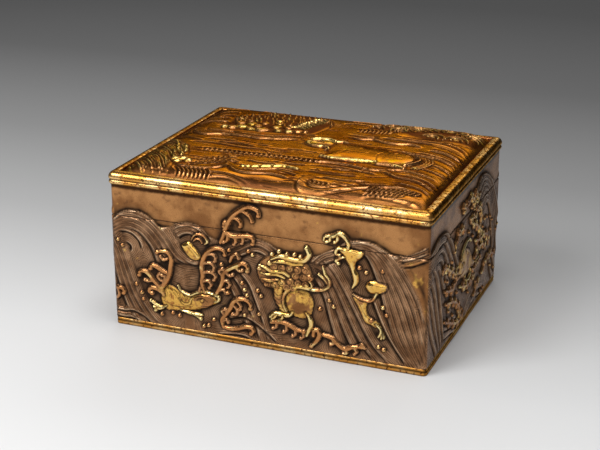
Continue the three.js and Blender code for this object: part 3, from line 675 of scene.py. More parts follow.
def draw_front_foam(s: ReliefSheet) -> None:
    """The front's foam, in claws of bright bronze.

    Args:
        s: the sheet.
    """
    rods = [
        [(-42.3, 15.8), (-43.1, 18.3), (-41, 21.7), (-39.5, 25), (-38.9, 28.3), (-38.5, 30.8), (-38.9, 32.8),
         (-40.4, 34), (-42.6, 34), (-44.4, 33.4)],
        [(-39.5, 25), (-42.3, 25.8), (-44.8, 27.1), (-46.8, 27.6), (-47.6, 26.2)],
        [(-43.1, 18.3), (-46, 20.8), (-48.1, 23.3), (-50.2, 24.6), (-52.3, 24.2), (-52.7, 22.8)],
        [(-42.3, 16.4), (-45, 17.9), (-47.6, 18), (-48.6, 16.4), (-47.4, 15.8)],
        [(-24.3, 19.6), (-25.6, 23.3), (-25.2, 26.7), (-25.6, 30), (-24.8, 33.3), (-23.1, 36.3),
         (-20.6, 38.2), (-18.1, 38.6), (-16, 37.9), (-15.7, 36.5)],
        [(-17.3, 41.3), (-16, 44.2), (-15.2, 47.1), (-13.9, 50), (-11.8, 52.9), (-9.3, 55), (-6.4, 56.8),
         (-4.3, 56.7), (-1.9, 55.6), (-1.7, 54)],
        [(-15.8, 46.4), (-14.3, 45), (-11.8, 44.4), (-8.5, 45), (-6, 45.3), (-4, 44.4), (-4.2, 42.6)],
        [(-19.3, 20.4), (-17.7, 23.3), (-16.8, 25.8), (-16.6, 28.3), (-15, 30.2), (-12.7, 31.7),
         (-10.2, 33.1), (-8.5, 34), (-6.6, 33), (-6.5, 31.2)],
        [(-16.8, 6.4), (-17.5, 9.2), (-16, 11.7), (-13.9, 14.6), (-12.7, 17.3), (-10.6, 19), (-7.7, 19.3),
         (-5.6, 17.9), (-5.4, 16)],
        [(-16.8, 6.6), (-14.3, 6.2), (-11, 6.8), (-7.7, 8), (-5.2, 8), (-4.4, 6.7), (-5.3, 5.6)],
        [(-66, 15.6), (-63, 15.8), (-61, 16), (-59.6, 14.9), (-60, 13.9)],
        [(3.2, 11.9), (6.8, 12.5), (10.2, 11.9), (13.5, 10.4), (16.4, 10.2)],
        [(20.2, 9.2), (20.6, 11.4), (22, 11.5), (22.6, 9.8), (21.6, 7.4), (19.4, 4.8)],
        [(24.3, 10.2), (27.7, 9.4), (30.2, 7.2), (32.7, 5.9), (36, 7.2), (39.3, 7.9)],
    ]
    hooks = [
        [(-41, 21.7), (-43.2, 21.8), (-44.6, 23.4), (-43.6, 24.6)],
        [(-40.2, 31), (-42, 30.6), (-43, 31.8)], [(-46.4, 21.4), (-49, 20.6), (-50.2, 21)],
        [(-42.6, 20), (-41.4, 23.2), (-42.6, 24)],
        [(-24.3, 34.8), (-21.8, 35.9), (-19.7, 35.1), (-20, 33.3)],
        [(-25, 31.5), (-22, 32.2), (-20.3, 30.9), (-20.9, 29.1)],
        [(-25.2, 27.7), (-22, 28.4), (-19.8, 27.2), (-20.5, 25.6)],
        [(-25.5, 24), (-23.1, 24.7), (-21.7, 23.4), (-22.5, 22)],
        [(-24.6, 20.8), (-26.2, 21.6), (-26.6, 20.2)],
        [(-9.6, 54.8), (-7.7, 54.8), (-5.2, 53.2), (-4.3, 51.4)],
        [(-12.6, 51.6), (-10.6, 51.6), (-9, 50.2), (-9.2, 48.8)],
        [(-13.8, 49), (-15.6, 49.6), (-15.8, 48)], [(-8.5, 44.8), (-8, 43.4), (-8.6, 42.2)],
        [(-11.8, 44.3), (-11, 42.8), (-11.8, 41.4)], [(-14.4, 44.6), (-14.6, 42.6), (-16, 41.6)],
        [(-13.6, 34), (-12.6, 36.4), (-10.8, 37.5), (-10, 36)],
        [(-11.6, 32.4), (-9.8, 30.8), (-8.6, 31.2)],
        [(-17.2, 25.4), (-15.2, 25.9), (-13.9, 24.7), (-14.6, 23.4)],
        [(-16.8, 27.6), (-18.2, 29.4), (-16.8, 30.6)], [(-18.8, 21.4), (-16.6, 22), (-15.6, 20.8)],
        [(-15.8, 29.6), (-13.8, 28.2), (-12.6, 28.8)], [(-16.2, 11.4), (-17.4, 13), (-16, 14)],
        [(-12.9, 16.6), (-11, 14.6), (-11.4, 12.6), (-13, 12.4)],
        [(-11.4, 18.4), (-9.6, 16.6), (-9.8, 15)], [(-17.4, 8.6), (-15.6, 9.8), (-14.8, 8.8)],
        [(-62.6, 15.6), (-62, 13), (-63.4, 11.4), (-65, 12)],
        [(9, 12), (9.4, 9.8), (8.2, 8.8)], [(12.8, 10.8), (13, 8.6), (11.8, 7.6)],
        [(15.6, 10.2), (16.4, 8.4), (15.2, 7.4)], [(5.4, 12.2), (5, 10.2), (3.8, 9.6)],
        [(27.8, 9.4), (28.4, 7.6), (27.2, 6.8)], [(32.8, 6), (33.4, 4.4), (32.2, 3.8)],
        [(36.2, 7.2), (37.4, 5.6), (36.6, 4.6)], [(38.2, 7.7), (39.6, 9), (40.6, 7.8)],
    ]
    s.join([Strand(points, 1.35, 0.85, gilt=0.2, ends=(0.8, 0.85), bulb=0.74) for points in hooks]
           + [Strand(points, 1.9, 0.95, gilt=0.26, ends=(0.85, 0.7), bulb=0.85) for points in rods])
    s.body([(29.4, 45.4), (31, 46.2), (34, 46.4), (37.6, 45.8), (39.6, 45.6), (39, 43.4), (36.8, 41.2),
            (36.4, 38.6), (37.6, 36.2), (37.7, 33.6), (36.4, 31.4), (35, 30.6), (35.6, 33.6), (35, 36.6),
            (34, 39.4), (32.6, 41.6), (31.6, 43.4)], 0.8, 1.5, gilt=0.95)
    s.rod([(31.4, 45.6), (29.6, 45.6), (28.9, 43.6), (30.4, 42.9)], 1.3, 0.75, gilt=0.8, bulb=0.7)
    s.rod([(32.4, 42.6), (30.6, 42), (29, 40.8), (30, 39.8)], 1.3, 0.75, gilt=0.8, bulb=0.7)
    s.rod([(24.2, 48), (24.7, 49.6), (27, 49.9), (28.7, 50.6), (30.4, 51.4), (32.3, 50.2), (33.7, 48.2),
           (33.6, 46.4)], 1.8, 0.8, gilt=0.9, bulb=0.7)
    s.rod([(26.8, 49.8), (26.4, 48.2), (25.2, 47.6)], 1.1, 0.7, gilt=0.8, bulb=0.6)
    s.rod([(29.6, 50.6), (29.4, 48.8), (28.4, 47.9)], 1.2, 0.7, gilt=0.8, bulb=0.6)


def draw_lion_dog(s: ReliefSheet) -> None:
    """A maned lion-dog that looks to the left, seated, with a flame-edged tail.

    Args:
        s: the sheet.
    """
    s.body([(-1, 28), (-2.4, 31.4), (-1.6, 35), (0.4, 37.6), (4, 39.4), (9, 40), (14, 40), (17.6, 37.6),
            (19.4, 34), (19.2, 30.6), (16, 28.2), (11.6, 27.6), (6, 26.4), (2, 26)], 0.35, 2.0, gilt=0.25)
    s.body([(8.8, 19), (8.2, 22.6), (9.4, 26), (13, 27.8), (17.6, 26.8), (19.9, 23.6), (19.8, 19.8),
            (18.8, 16.6), (15.6, 15.4), (11.6, 16.2)], 1.05, 5.6, gilt=0.46)
    s.gild([(9.4, 18), (8.8, 23), (11, 26.6), (15, 27.2), (17.6, 25.8), (12.4, 24.4), (10.6, 21)], 0.9)
    for k in range(4):
        s.cut([(12.2 + 1.7 * k, 25.6 - 0.5 * k), (13 + 1.6 * k, 23.6 - 0.4 * k), (12.6 + 1.6 * k, 21.4)],
              0.42, 0.16)
    s.body([(4.6, 26.6), (4.2, 22.6), (5.4, 19.4), (7.6, 16.6), (10, 16.4), (9.2, 20), (8.2, 24), (8, 27.4)],
           0.8, 1.8, gilt=0.6)
    for k in range(5):
        s.cut([(4.4, 24.4 - 1.7 * k), (6.2, 23.6 - 1.7 * k), (8, 24 - 1.8 * k)], 0.55, 0.3)
    s.rod([(9.3, 17.6), (8, 20.8), (8.6, 24.2), (11, 26.9), (14.3, 28.1), (17.7, 28), (21, 27.8),
           (24.3, 28.6), (26.4, 30.5), (26.5, 32.9), (24.9, 34.8), (24, 37.8)], 1.35, 0.85, 0.45, gilt=0.55)
    s.rod([(25.9, 30.6), (24.8, 32.6), (22.2, 34.4)], 1.1, 0.7, 0.4, gilt=0.5)
    s.rod([(19.2, 28), (19.6, 29.8), (18.6, 30.8)], 0.9, 0.7, 0.4, gilt=0.5)
    s.rod([(12, 17.6), (10.6, 15.9), (7.7, 15.6), (4.6, 15.6), (2.9, 14.2)], 1.9, 0.8, gilt=1.0, bulb=0.7)
    s.rod([(5.6, 15.4), (4.4, 14), (3.4, 13.2)], 1.1, 0.7, gilt=0.9, bulb=0.5)
    s.rod([(8, 15.6), (7.4, 13.9), (6.2, 13)], 1.1, 0.7, gilt=0.9, bulb=0.5)
    s.rod([(17.2, 18.2), (18.8, 15.8), (19.2, 12.8), (18, 10.2), (17.4, 8.8)], 1.9, 0.8, gilt=0.7, bulb=0.7)
    s.rod([(3.4, 37.6), (6.8, 39.2), (11, 38.5), (14.3, 38.4), (16.9, 39.2), (18.4, 41.4), (17.4, 44)], 2.0,
          0.8, 0.5, gilt=0.95, bulb=0.7)
    s.rod([(4, 36.4), (8, 37.2), (12, 36.8), (15.6, 37.2)], 1.4, 0.6, 0.5, gilt=0.9)
    for u, v in ((3.6, 39.6), (6.4, 41), (9.6, 40.4), (12.6, 40.6), (15, 40.2)):
        s.pearl(u, v, 0.8, 0.45, 0.6)
    curls = ((4.4, 34.6), (7.6, 34.6), (10.8, 34.9), (14, 34.8), (17, 35), (13, 32.2), (16.2, 32),
             (18.6, 32.2), (11, 29.6), (14, 29.4), (17, 29.2), (7.6, 28.6), (4.8, 27.2), (1.6, 27.4),
             (9.4, 27), (12.2, 27.4))
    for k, (u, v) in enumerate(curls):
        s.lump(u, v, 1.5, 1.35, 0.75, 30.0 * k, 0.5, 0.35)
        turn = 1.3 * k
        s.cut([(u + 1.0 * math.cos(turn + a) * (1 - 0.14 * a), v + 1.0 * math.sin(turn + a) * (1 - 0.14 * a))
               for a in (0.0, 1.2, 2.4, 3.6, 4.8)], 0.5, 0.4)
    s.rod([(-1.6, 34.6), (1, 33.8), (4, 32.6), (7.7, 33), (10.4, 31.8)], 1.5, 0.7, 0.5, gilt=0.9)
    s.rod([(-1, 31.6), (2, 31.2), (5.4, 31.6), (8.6, 30.8)], 1.1, 0.6, 0.45, gilt=0.7)
    s.rod([(-0.6, 29.2), (2.4, 28.8), (6, 29.8)], 1.2, 0.6, 0.45, gilt=0.5)
    s.pearl(2.6, 35.9, 1.0, 0.6, 0.7)
    s.pearl(-1.6, 33.2, 0.9, 0.6, 0.6)


def draw_diving_beast(s: ReliefSheet) -> None:
    """The gilt hind part of a beast that dives into the falling wave.

    Args:
        s: the sheet.
    """
    s.body([(40.6, 32), (41.4, 34), (43.6, 34.8), (46.6, 34.6), (48.8, 34.4), (49, 32.4), (47.4, 30.8),
            (44.6, 29.8), (42, 30)], 0.85, 2.0, gilt=0.9)
    s.rod([(35.8, 28.6), (38, 27.4), (41, 26.7), (43.2, 27.4), (44.8, 30)], 1.2, 0.8, 0.45, gilt=0.55)
    s.body([(35.6, 27.6), (38.4, 26.6), (41.2, 26.2), (40.8, 23.6), (41.6, 21), (43.4, 19.8), (45.6, 18.6),
            (46.6, 16.6), (45, 16.4), (42.8, 17.2), (40.6, 18), (39.4, 19.8), (38.4, 22.2), (37, 24.8)],
           0.9, 2.2, gilt=0.85)
    s.cut([(38.6, 25.2), (40, 22), (42, 19.4)], 0.5, 0.25)
    for tip in ((47.9, 12.8), (46.9, 12.4), (45.8, 13)):
        s.rod([(44.6, 18), (46.6, 16.4), (0.5 * (47.4 + tip[0]), 0.5 * (15.2 + tip[1]) + 0.4), tip], 1.0,
              0.75, 0.4, gilt=0.95)
    s.pearl(43, 19.3, 0.8, 0.9, 0.6)


def draw_end(s: ReliefSheet) -> None:
    """Ends: waves break from the left and the right over a horned fish-beast in foam.

    It is drawn from the right end. The photograph doesn't show the left one, which gets the same drawing.

    Args:
        s: the sheet.
    """
    s.sea([(-54, 0), (-54, 48), (-49.5, 47.6), (-44, 49.4), (-38, 50.6), (-30, 49.8), (-25, 46.4), (-20, 43),
           (-14, 42), (-6, 44), (0, 46), (6, 48.6), (12, 52.4), (18, 56.2), (24, 55.8), (29, 54), (35, 50.4),
           (40, 48), (46, 47), (54, 47.4), (54, 0)])
    s.swell([(-51, 45.4), (-44, 48.6), (-38, 50.3), (-30, 49.2), (-22, 42), (-14, 32), (-9, 27)],
            [(-51, 33), (-46, 36.6), (-41, 38.5), (-37, 37.4), (-34, 33), (-31, 28), (-28, 24)], 5, 2.8,
            0.55)
    s.swell([(-48, 43), (-40, 35), (-34.6, 22), (-31, 10), (-29, 2)],
            [(-52, 30), (-49, 22), (-45, 14), (-41, 8), (-37, 2)], 4, 2.8, 0.5)
    s.swell([(8, 50), (13, 53), (20, 56.2), (27, 54.6), (34, 50), (41, 42), (47, 33), (51, 22)],
            [(21, 37), (25, 41), (29, 42.6), (33, 40), (36, 35), (38.6, 29), (40, 22), (41, 12)], 6, 2.8,
            0.55, 0.3)
    s.swell([(44, 30), (46, 20), (49, 12), (52, 6)], [(36, 20), (37, 14), (40, 8), (44, 2)], 3, 2.4, 0.45)
    s.swell([(-30, 13.6), (-22, 10.6), (-14, 8.4), (-8, 4)], [(-30, 6), (-24, 5), (-18, 4), (-13, 2.4)], 3,
            2.0, 0.4)
    s.swell([(-2, 5), (5, 8), (12, 9.4), (19, 12)], [(0, 2), (7, 4.4), (15, 5), (22, 6)], 2, 2.0, 0.35)
    s.swell([(16, 8), (24, 6.6), (32, 4)], [(18, 4.6), (25, 3.6), (31, 2)], 2, 2.0, 0.35)
    s.swell([(-14, 40), (-8, 42.6), (-3, 42)], [(-12, 36), (-8, 38), (-4, 38)], 2, 1.8, 0.3)
    s.swell([(16, 34), (20, 39), (25, 41.6)], [(20, 31), (24, 34), (28, 34.6)], 2, 1.8, 0.3)
    s.body([(-14.4, 26.4), (-12.6, 29.6), (-9.4, 32), (-5, 33.2), (0, 32.6), (4, 30.8), (7.6, 27.8),
            (10, 24.8), (13.6, 23.4), (14, 21.4), (10.6, 20.8), (6.6, 21.2), (2, 20.8), (-3, 21.2),
            (-7, 22.4), (-10.4, 22.8), (-13.6, 22.8), (-14.6, 24.2), (-12, 25.2)], 1.0, 4.4, gilt=0.5)
    s.lump(-7, 28, 3.2, 2.4, 1.2, 15, gilt=0.6)
    s.cut([(-9.2, 27.4), (-8, 29), (-5.8, 28.9), (-4.6, 27.6)], 0.7, 0.5)
    s.pearl(-6.8, 27.8, 0.8, 1.05, 0.3)
    s.cut([(-13.8, 24.6), (-11, 25.2), (-8, 24.4), (-6, 25)], 0.8, 0.5)
    s.rod([(-14, 27), (-15.6, 28.2), (-15.4, 30), (-14.2, 30.2)], 1.0, 0.7, 0.6, gilt=0.8, bulb=0.55)
    s.rod([(-9, 31), (-6, 33.6), (-2, 35.6), (2, 35.8), (4, 34.4)], 1.3, 0.7, 0.6, gilt=0.8, bulb=0.6)
    s.rod([(-2, 22), (-3.6, 19.8), (-7, 19), (-9.6, 20)], 1.3, 0.8, 0.4, gilt=0.7, bulb=0.6)
    s.rod([(6, 22), (5.6, 19.6), (3, 18.4), (0.4, 19)], 1.3, 0.8, 0.4, gilt=0.7, bulb=0.6)
    for tip in ((17.6, 25.4), (18.4, 22.4), (17, 19.6)):
        s.rod([(12.4, 22.4), (15, 0.5 * (22.4 + tip[1])), tip], 1.1, 0.7, 0.4, gilt=0.8)
    for k in range(5):
        s.cut([(-1.6 + 2 * k, 32.2 - 1.1 * k), (-0.2 + 2 * k, 28 - 0.8 * k), (-1.2 + 2 * k, 23.4 - 0.2 * k)],
              0.55, 0.3)
    # Each stem's points, how many claws a side has, how long they are, its leading side and its gilt
    stems = (
        ([(-14, 25), (-19, 29.4), (-25, 32.6), (-30, 35.4), (-34, 36)], 4, 4.3, 1, 0.41),
        ([(-12, 27.6), (-15, 25.6), (-19, 23), (-24, 24), (-30, 26)], 3, 4.1, 1, 0.37),
        ([(-9, 6), (-9, 10.4), (-13, 14.6), (-19, 17.4), (-28, 20)], 4, 4.1, 1, 0.35),
        ([(-2, 7), (-8, 5.4), (-14, 6.4), (-21, 9.4), (-29, 13)], 4, 3.8, -1, 0.35),
        ([(-3, 41), (-9, 43.4), (-14, 42.6), (-18, 37.6)], 3, 4.1, -1, 0.41),
        ([(9, 45.4), (8, 50), (2, 52.4), (-4, 50.6), (-8, 52)], 4, 4.3, -1, 0.56),
        ([(17.6, 50), (14, 48.6), (11, 50.4), (10, 53)], 2, 4.1, 1, 0.54),
        ([(19.6, 35), (19.4, 41.4), (15, 44.6), (9, 42.6), (3, 43.6)], 4, 4.6, 1, 0.54),
        ([(20, 29.6), (18.6, 33.6), (13, 37.6), (7, 40.4)], 3, 4.3, 1, 0.49),
        ([(33.4, 22), (31, 26.6), (26, 29.4), (19, 29.6), (12, 31.4)], 4, 4.3, 1, 0.49),
        ([(29, 21.6), (24, 25.6), (17, 26.6), (11, 24.4)], 3, 4.1, 1, 0.45),
        ([(24, 19.4), (18, 21), (12, 19.4), (7, 21)], 2, 3.8, 1, 0.41),
        ([(13, 17.4), (7, 16), (0, 16.6), (-7, 19)], 4, 3.8, -1, 0.41),
        ([(46, 13.4), (38, 16.4), (31, 16), (24, 13)], 4, 4.1, 1, 0.45),
        ([(22, 11), (17, 10.4), (12, 8)], 2, 3.5, 1, 0.37),
    )
    for stem, claws, size, hand, gilt in stems:
        s.frond(stem, claws, size, (hand, -hand), gilt)
    s.spray([(26, 36), (29.4, 35.6), (35, 34), (38, 31.6), (36, 28), (45, 25), (47.4, 26.4), (15, 12.6),
             (24, 5), (28, 5), (-30, 13.6), (-5, 9), (-24, 15.6), (-13, 19), (-21, 34.6), (-30.6, 30.6),
             (-18, 11.6), (4, 12.4), (8, 35), (2, 38.6), (5, 47.6), (23, 33.6), (-27, 29), (38.6, 11),
             (44, 8)])


def draw_back(s: ReliefSheet) -> None:
    """Back, which the photograph doesn't show: two waves run the other way, with foam over the join.

    Args:
        s: the sheet.
    """
    s.sea([(-70, 0), (-70, 36), (-64, 40), (-58, 46.4), (-52, 49), (-44, 49.8), (-36, 48.4), (-30, 46.4),
           (-24, 44.4), (-18, 45), (-12, 47.4), (-6, 49.4), (2, 50), (9, 47.6), (15, 45.4), (22, 43.6),
           (28, 44.4), (35, 47.4), (44, 49.6), (54, 49.4), (60, 46), (66, 43.6), (70, 43), (70, 0)])
    s.swell([(66, 39), (54, 48.6), (44, 48.4), (36, 41.6), (29, 32), (20, 28)],
            [(66, 30), (58, 38), (50, 38.4), (45, 33.4), (41, 27), (36, 23)], 5, 3.2, 0.55)
    s.swell([(15, 43.6), (2, 49.6), (-10, 47), (-20, 37), (-28, 23), (-34, 2)],
            [(8, 32), (2, 36.6), (-4, 35), (-9, 27), (-13, 17), (-16, 2)], 6, 3.2, 0.55)
    s.swell([(-29, 45.4), (-42, 49.4), (-53, 44), (-60, 32), (-65, 14)],
            [(-35, 35), (-41, 37), (-46, 30), (-50, 20), (-55, 2)], 5, 3.2, 0.55)
    s.swell([(66, 25), (53, 16), (40, 13), (27, 2)], [(66, 10), (57, 7), (49, 6), (42, 2)], 4, 2.8, 0.5)
    s.swell([(-58, 8), (-48, 12), (-40, 8), (-34, 3)], [(-56, 3), (-50, 5), (-44, 4), (-40, 2)], 2, 2.2,
            0.35)
    s.swell([(-12, 12), (-4, 17), (6, 17), (16, 20)], [(-10, 4), (-2, 4), (8, 3), (16, 4)], 4, 2.6, 0.4)
    s.swell([(14, 38), (22, 38), (28, 42)], [(16, 32), (22, 32.6), (27, 34)], 2, 2.0, 0.3)
    # Each stem's points, how many claws a side has, how long they are, its leading side and its gilt
    stems = (
        ([(22, 20), (26, 27), (33, 31), (37, 27)], 5, 4.4, -1, 0.5),
        ([(20, 42), (24, 49), (31, 53.6), (37, 51.6)], 5, 4.2, -1, 0.7),
        ([(-20, 14), (-23, 21), (-20, 28), (-24, 33)], 5, 4.2, -1, 0.5),
        ([(-26, 42), (-22, 48), (-28, 53.6), (-34, 52.6)], 5, 4.2, 1, 0.7),
        ([(-6, 6), (2, 10), (11, 9), (18, 13)], 5, 3.8, 1, 0.5),
        ([(-58, 20), (-50, 24), (-46, 31), (-51, 35)], 5, 4.0, 1, 0.5),
        ([(6, 22), (8, 28), (13, 33), (18, 32)], 4, 3.8, -1, 0.5),
        ([(40, 6), (46, 10), (54, 10), (60, 13)], 5, 3.6, 1, 0.45),
    )
    for stem, claws, size, hand, gilt in stems:
        s.frond(stem, claws, size, (hand,), gilt)
    s.spray([(-44, 33), (-24, 39), (6, 30), (24, 12), (54, 15), (-41, 31), (30, 24), (14, 25), (-30, 9),
             (-14, 40), (46, 27), (59, 20), (-54, 28), (2, 14), (16, 37), (-58, 12), (34, 36), (-27, 36)])


def draw_lid(s: ReliefSheet) -> None:
    """Lid: an ox lies in a stream between banks of rock, among streams and combs of ripples.

    Args:
        s: the sheet.
    """
    draw_back_rocks(s)
    draw_right_rocks(s)
    draw_left_rocks(s)
    # Each stream's width, its height and its near edge
    streams = (
        (4.4, 0.62,
         [(-54.4, 12), (-54.8, 7), (-52.4, 2.2), (-47, 0.2), (-39.6, 3.2), (-32, 3.4), (-24, 2.6),
          (-14, 5.4), (-5, 7.2)]),
        (3.0, 0.35, [(-51, 12), (-48, 7.6), (-40, 7.6), (-24, 7), (-14, 9.6), (-4, 11)]),
        (3.4, 0.5, [(-60, 15.6), (-57.4, 17.6), (-53, 19.2), (-45, 20.4)]),
        (3.4, 0.6, [(8, 19), (14, 16.2), (19.6, 17.6), (24, 15.8), (30, 15.2), (35.6, 16.6), (42, 14.4)]),
        (3.0, 0.6, [(44, 12.4), (50, 11), (55, 9), (60, 7)]),
        (2.6, 0.3, [(20, 22.6), (30, 21.4), (40, 21), (48, 18.4), (60, 13.4)]),
        (2.4, 0.55, [(26, 6.9), (34, 6.3), (42, 4.4), (50, 3), (60, -0.6)]),
        (2.2, 0.3, [(40, 8.6), (50, 6), (60, 2.4)]), (2.4, 0.25, [(45, -3), (52, -4.4), (60, -7.6)]),
        (3.6, 0.6,
         [(-3, -15.6), (6, -17.6), (14, -16.4), (22, -17.4), (30, -19.4), (36, -18.6), (42, -15.8),
          (50, -17.8), (60, -20.4)]),
        (3.0, 0.5, [(34, -19), (38, -20.4), (43, -24), (50, -25), (60, -30)]),
        (2.6, 0.3, [(44, -19.6), (52, -22), (60, -25.6)]),
        (3.4, 0.6,
         [(12.6, -32), (10.6, -36.6), (10.6, -42.6), (14.6, -45.4), (22, -44.8), (32, -40.8), (46, -35.4),
          (56, -37)]),
        (2.4, 0.35, [(16, -35), (14.4, -39), (15.6, -41.8), (21, -42), (30, -38)]),
        (3.4, 0.6, [(35, -45), (41, -43.4), (50, -44), (59, -45.4)]),
        (3.0, 0.55, [(-43, -38.4), (-34, -40), (-26, -38.4), (-22, -34), (-22.4, -29), (-17, -28)]),
        (3.0, 0.55, [(-22, -32.6), (-17, -37.6), (-11, -38.8), (-2, -37.2), (7, -39.4)]),
        (2.6, 0.35, [(-28, -44.8), (-18, -43.2), (-9, -45.4)]),
        (2.4, 0.3, [(-30, -41.6), (-20, -41), (-12, -43), (-6, -45.4)]),
    )
    chance = np.random.default_rng(3)
    for u, v, length, bend in zip(chance.uniform(-58, 46, 90), chance.uniform(-45, 26, 90),
                                  chance.uniform(7, 17, 90), chance.uniform(-1.2, 1.2, 90)):
        s.cut([(u, v), (u + 0.35 * length, v + bend), (u + 0.7 * length, v + 0.2 * bend),
               (u + length, v - bend)], 1.2, 0.25)
    for width, height, line in streams:
        s.bank(line, width, 0.8 * height)
    ripples = (
        [(24, 22), (36, 21.4), (48, 20), (60, 14)], [(26, 24.6), (38, 23.6), (50, 22.6), (60, 17.6)],
        [(-46, -4), (-34, -3.4), (-24, -5), (-14, -4.4)], [(-40, -7), (-30, -6), (-20, -7.6)],
        [(-50, -9.6), (-38, -9), (-26, -10.4), (-16, -9.6)],
        [(-56, -4), (-50, -5.4), (-44, -7)], [(8, -28), (18, -29), (30, -27.6)],
        [(16, -23), (28, -22), (36, -23.6)], [(-54, 28), (-48, 30), (-43, 28)],
        [(-58, 24), (-52, 26), (-46, 25)], [(46, -3), (53, -5), (60, -8)], [(48, -10), (54, -12), (60, -13)],
        [(-18, 13.4), (-10, 14.4), (-3, 14.6)], [(16, -33), (26, -34), (34, -32)],
        [(44, -30), (52, -31), (60, -34)], [(-56, 33), (-50, 35), (-46, 34)],
        [(10, -20.6), (20, -20.2), (30, -22.4)], [(28, -37), (36, -35), (44, -33)],
        [(8, 22), (14, 20.6), (22, 21.4)], [(2, 40), (8, 42), (16, 42)], [(0, 35), (6, 36.6), (13, 36)],
        [(-40, 42), (-34, 43.4), (-28, 43)], [(-58, 40), (-50, 41.4), (-44, 40)],
        [(-8, -22), (0, -23), (7, -22)], [(-18, -24), (-12, -25.6), (-4, -25)],
        [(0, -32), (6, -34), (8, -36)], [(22, -38), (27, -38.8), (32, -37)],
    )
    for line in ripples:
        s.bank(line, 1.8, 0.2)
    # Each comb's first tooth, its last, how many it has, how long they are and how they lean
    combs = (
        (-38.5, -18.0, 7.3, -16.4, 23, 4.2, 0.3), (-35, -36, -22.4, -27.6, 8, 5.2, -0.5),
        (-33, -29, -24, -23.6, 6, 4.0, -0.4), (-38, -43.6, -26, -42.6, 8, 5.6, 0.5),
        (37.6, -39.4, 55, -37.8, 11, 4.2, -0.45), (38.6, -42.4, 50, -41.4, 7, 2.8, -0.45),
        (10.4, 28, 22, 29.4, 8, 5.2, 0.25), (15.6, -39.6, 21, -40, 4, 3.0, 0.4),
    )
    for u0, v0, u1, v1, count, length, lean in combs:
        for k in range(count):
            t = k / (count - 1)
            u, v = u0 + t * (u1 - u0), v0 + t * (v1 - v0)
            hook = [(u - 0.5 * lean * length, v + 0.5 * length), (u + 0.9, v + 0.1 * length),
                    (u + 0.5 * lean * length, v - 0.5 * length)]
            s.rod(hook, 1.3, 0.3, 0.0, gilt=0.1, ends=(0.2, 0.2))
            s.cut([(a - 0.95, b) for a, b in hook], 1.4, 0.5)
    s.rod([(-16, -33.2), (-12, -32), (-9, -30.6), (-5, -29), (-1, -27.4), (5, -28.6)], 2.2, 0.7, 0.0,
          gilt=1.0)
    s.rod([(-14, -35.4), (-8, -34), (-2, -31), (4, -31.6)], 1.5, 0.4, 0.0, gilt=0.2)
    for u, v in ((-12.4, -32), (-9, -30.6), (-4.6, -28.8), (0.4, -27.6)):
        s.cut([(u - 0.5, v - 1.6), (u + 0.1, v), (u + 0.9, v + 1.7)], 0.8, 0.5)
    draw_ox(s)


def draw_back_rocks(s: ReliefSheet) -> None:
    """The gilt rocks behind the stream: a rugged mass in short slanted strokes, frothy along its foot.

    Args:
        s: the sheet.
    """
    s.body([(-45, 9), (-46, 15), (-44.6, 22), (-43, 30), (-36, 35), (-28, 39.6), (-20, 41.6), (-11, 40.6),
            (-5, 36), (-3, 30), (-4, 22), (-7, 14), (-14, 11), (-24, 9.6), (-34, 9)], 0.75, 12.0, 0.0, 0.2)
    # Painted shade in the gaps left between the strokes, over a darker patina
    s.shade([(-45, 9), (-46, 15), (-44.6, 22), (-43, 30), (-36, 35), (-28, 39.6), (-20, 41.6), (-11, 40.6),
             (-5, 36), (-3, 30), (-4, 22), (-7, 14), (-14, 11), (-34, 9)], 0.9)
    s.strokes([(-46, 19), (-44, 30), (-37, 34.6), (-28, 38.6), (-20, 40), (-11, 39), (-5, 35), (-3.4, 30),
               (-6, 33), (-18, 20), (-30, 21)], (2.3, 4.2), (1.0, -2.6), 1.0, 0.5, 0.42, 5)
    # Each puff's place and size
    froth = ((-42, 24.6, 1.7), (-39.6, 19, 2.4), (-37, 14.4, 2.3), (-40.6, 12, 2.0), (-34.4, 18.6, 2.2),
             (-31, 16.8, 2.4), (-32.6, 12.6, 2.1), (-27.4, 13.2, 2.9), (-24.8, 26.4, 1.7), (-23, 18, 2.3),
             (-20.6, 14, 2.0), (-18, 18.4, 1.8), (-16, 14.6, 1.8), (-12.6, 15.6, 1.7), (-29.4, 21, 1.8),
             (-36.4, 22.6, 1.6), (-23.6, 22.4, 1.5), (-18.6, 22, 1.3), (-44, 12, 1.3), (-9.4, 16, 1.2))
    for k, (u, v, size) in enumerate(froth):
        s.lump(u, v, size * 1.1, size * 0.7, 0.5, 25.0 * (k % 5) - 50, 0.5, 0.62 - 0.26 * (k % 2))
        # A dark cut under each puff: a chased line, and painted shade under it
        s.cut([(u - 1.2 * size, v - 0.5 * size), (u, v - 0.85 * size), (u + 1.2 * size, v - 0.2 * size)],
              0.9, 0.5)
        s.cut([(u - size, v + 0.2), (u - 0.1, v + 0.5), (u + 0.9 * size, v + 0.1)], 0.5, 0.22)
    s.shade([(-46, 8), (-47, 20), (-44, 30), (-36, 36), (-28, 41), (-20, 43), (-11, 42), (-4, 37), (-1, 30),
             (-3, 20), (-8, 12), (-30, 8)], 0.22)
    for k in range(8):
        u, v = -9.2 - 0.75 * k, 34.2 - 1.95 * k
        # A dark cut under each rung: a chased line, and painted shade under it
        s.cut([(u - 3.4, v - 1.5), (u, v - 0.5), (u + 3.4, v - 1.9)], 1.3, 0.45)
        s.rod([(u - 3.4, v - 0.6), (u, v + 0.5), (u + 3.4, v - 1.0)], 0.75, 0.4, 0.6, gilt=0.8,
              ends=(0.6, 0.6))


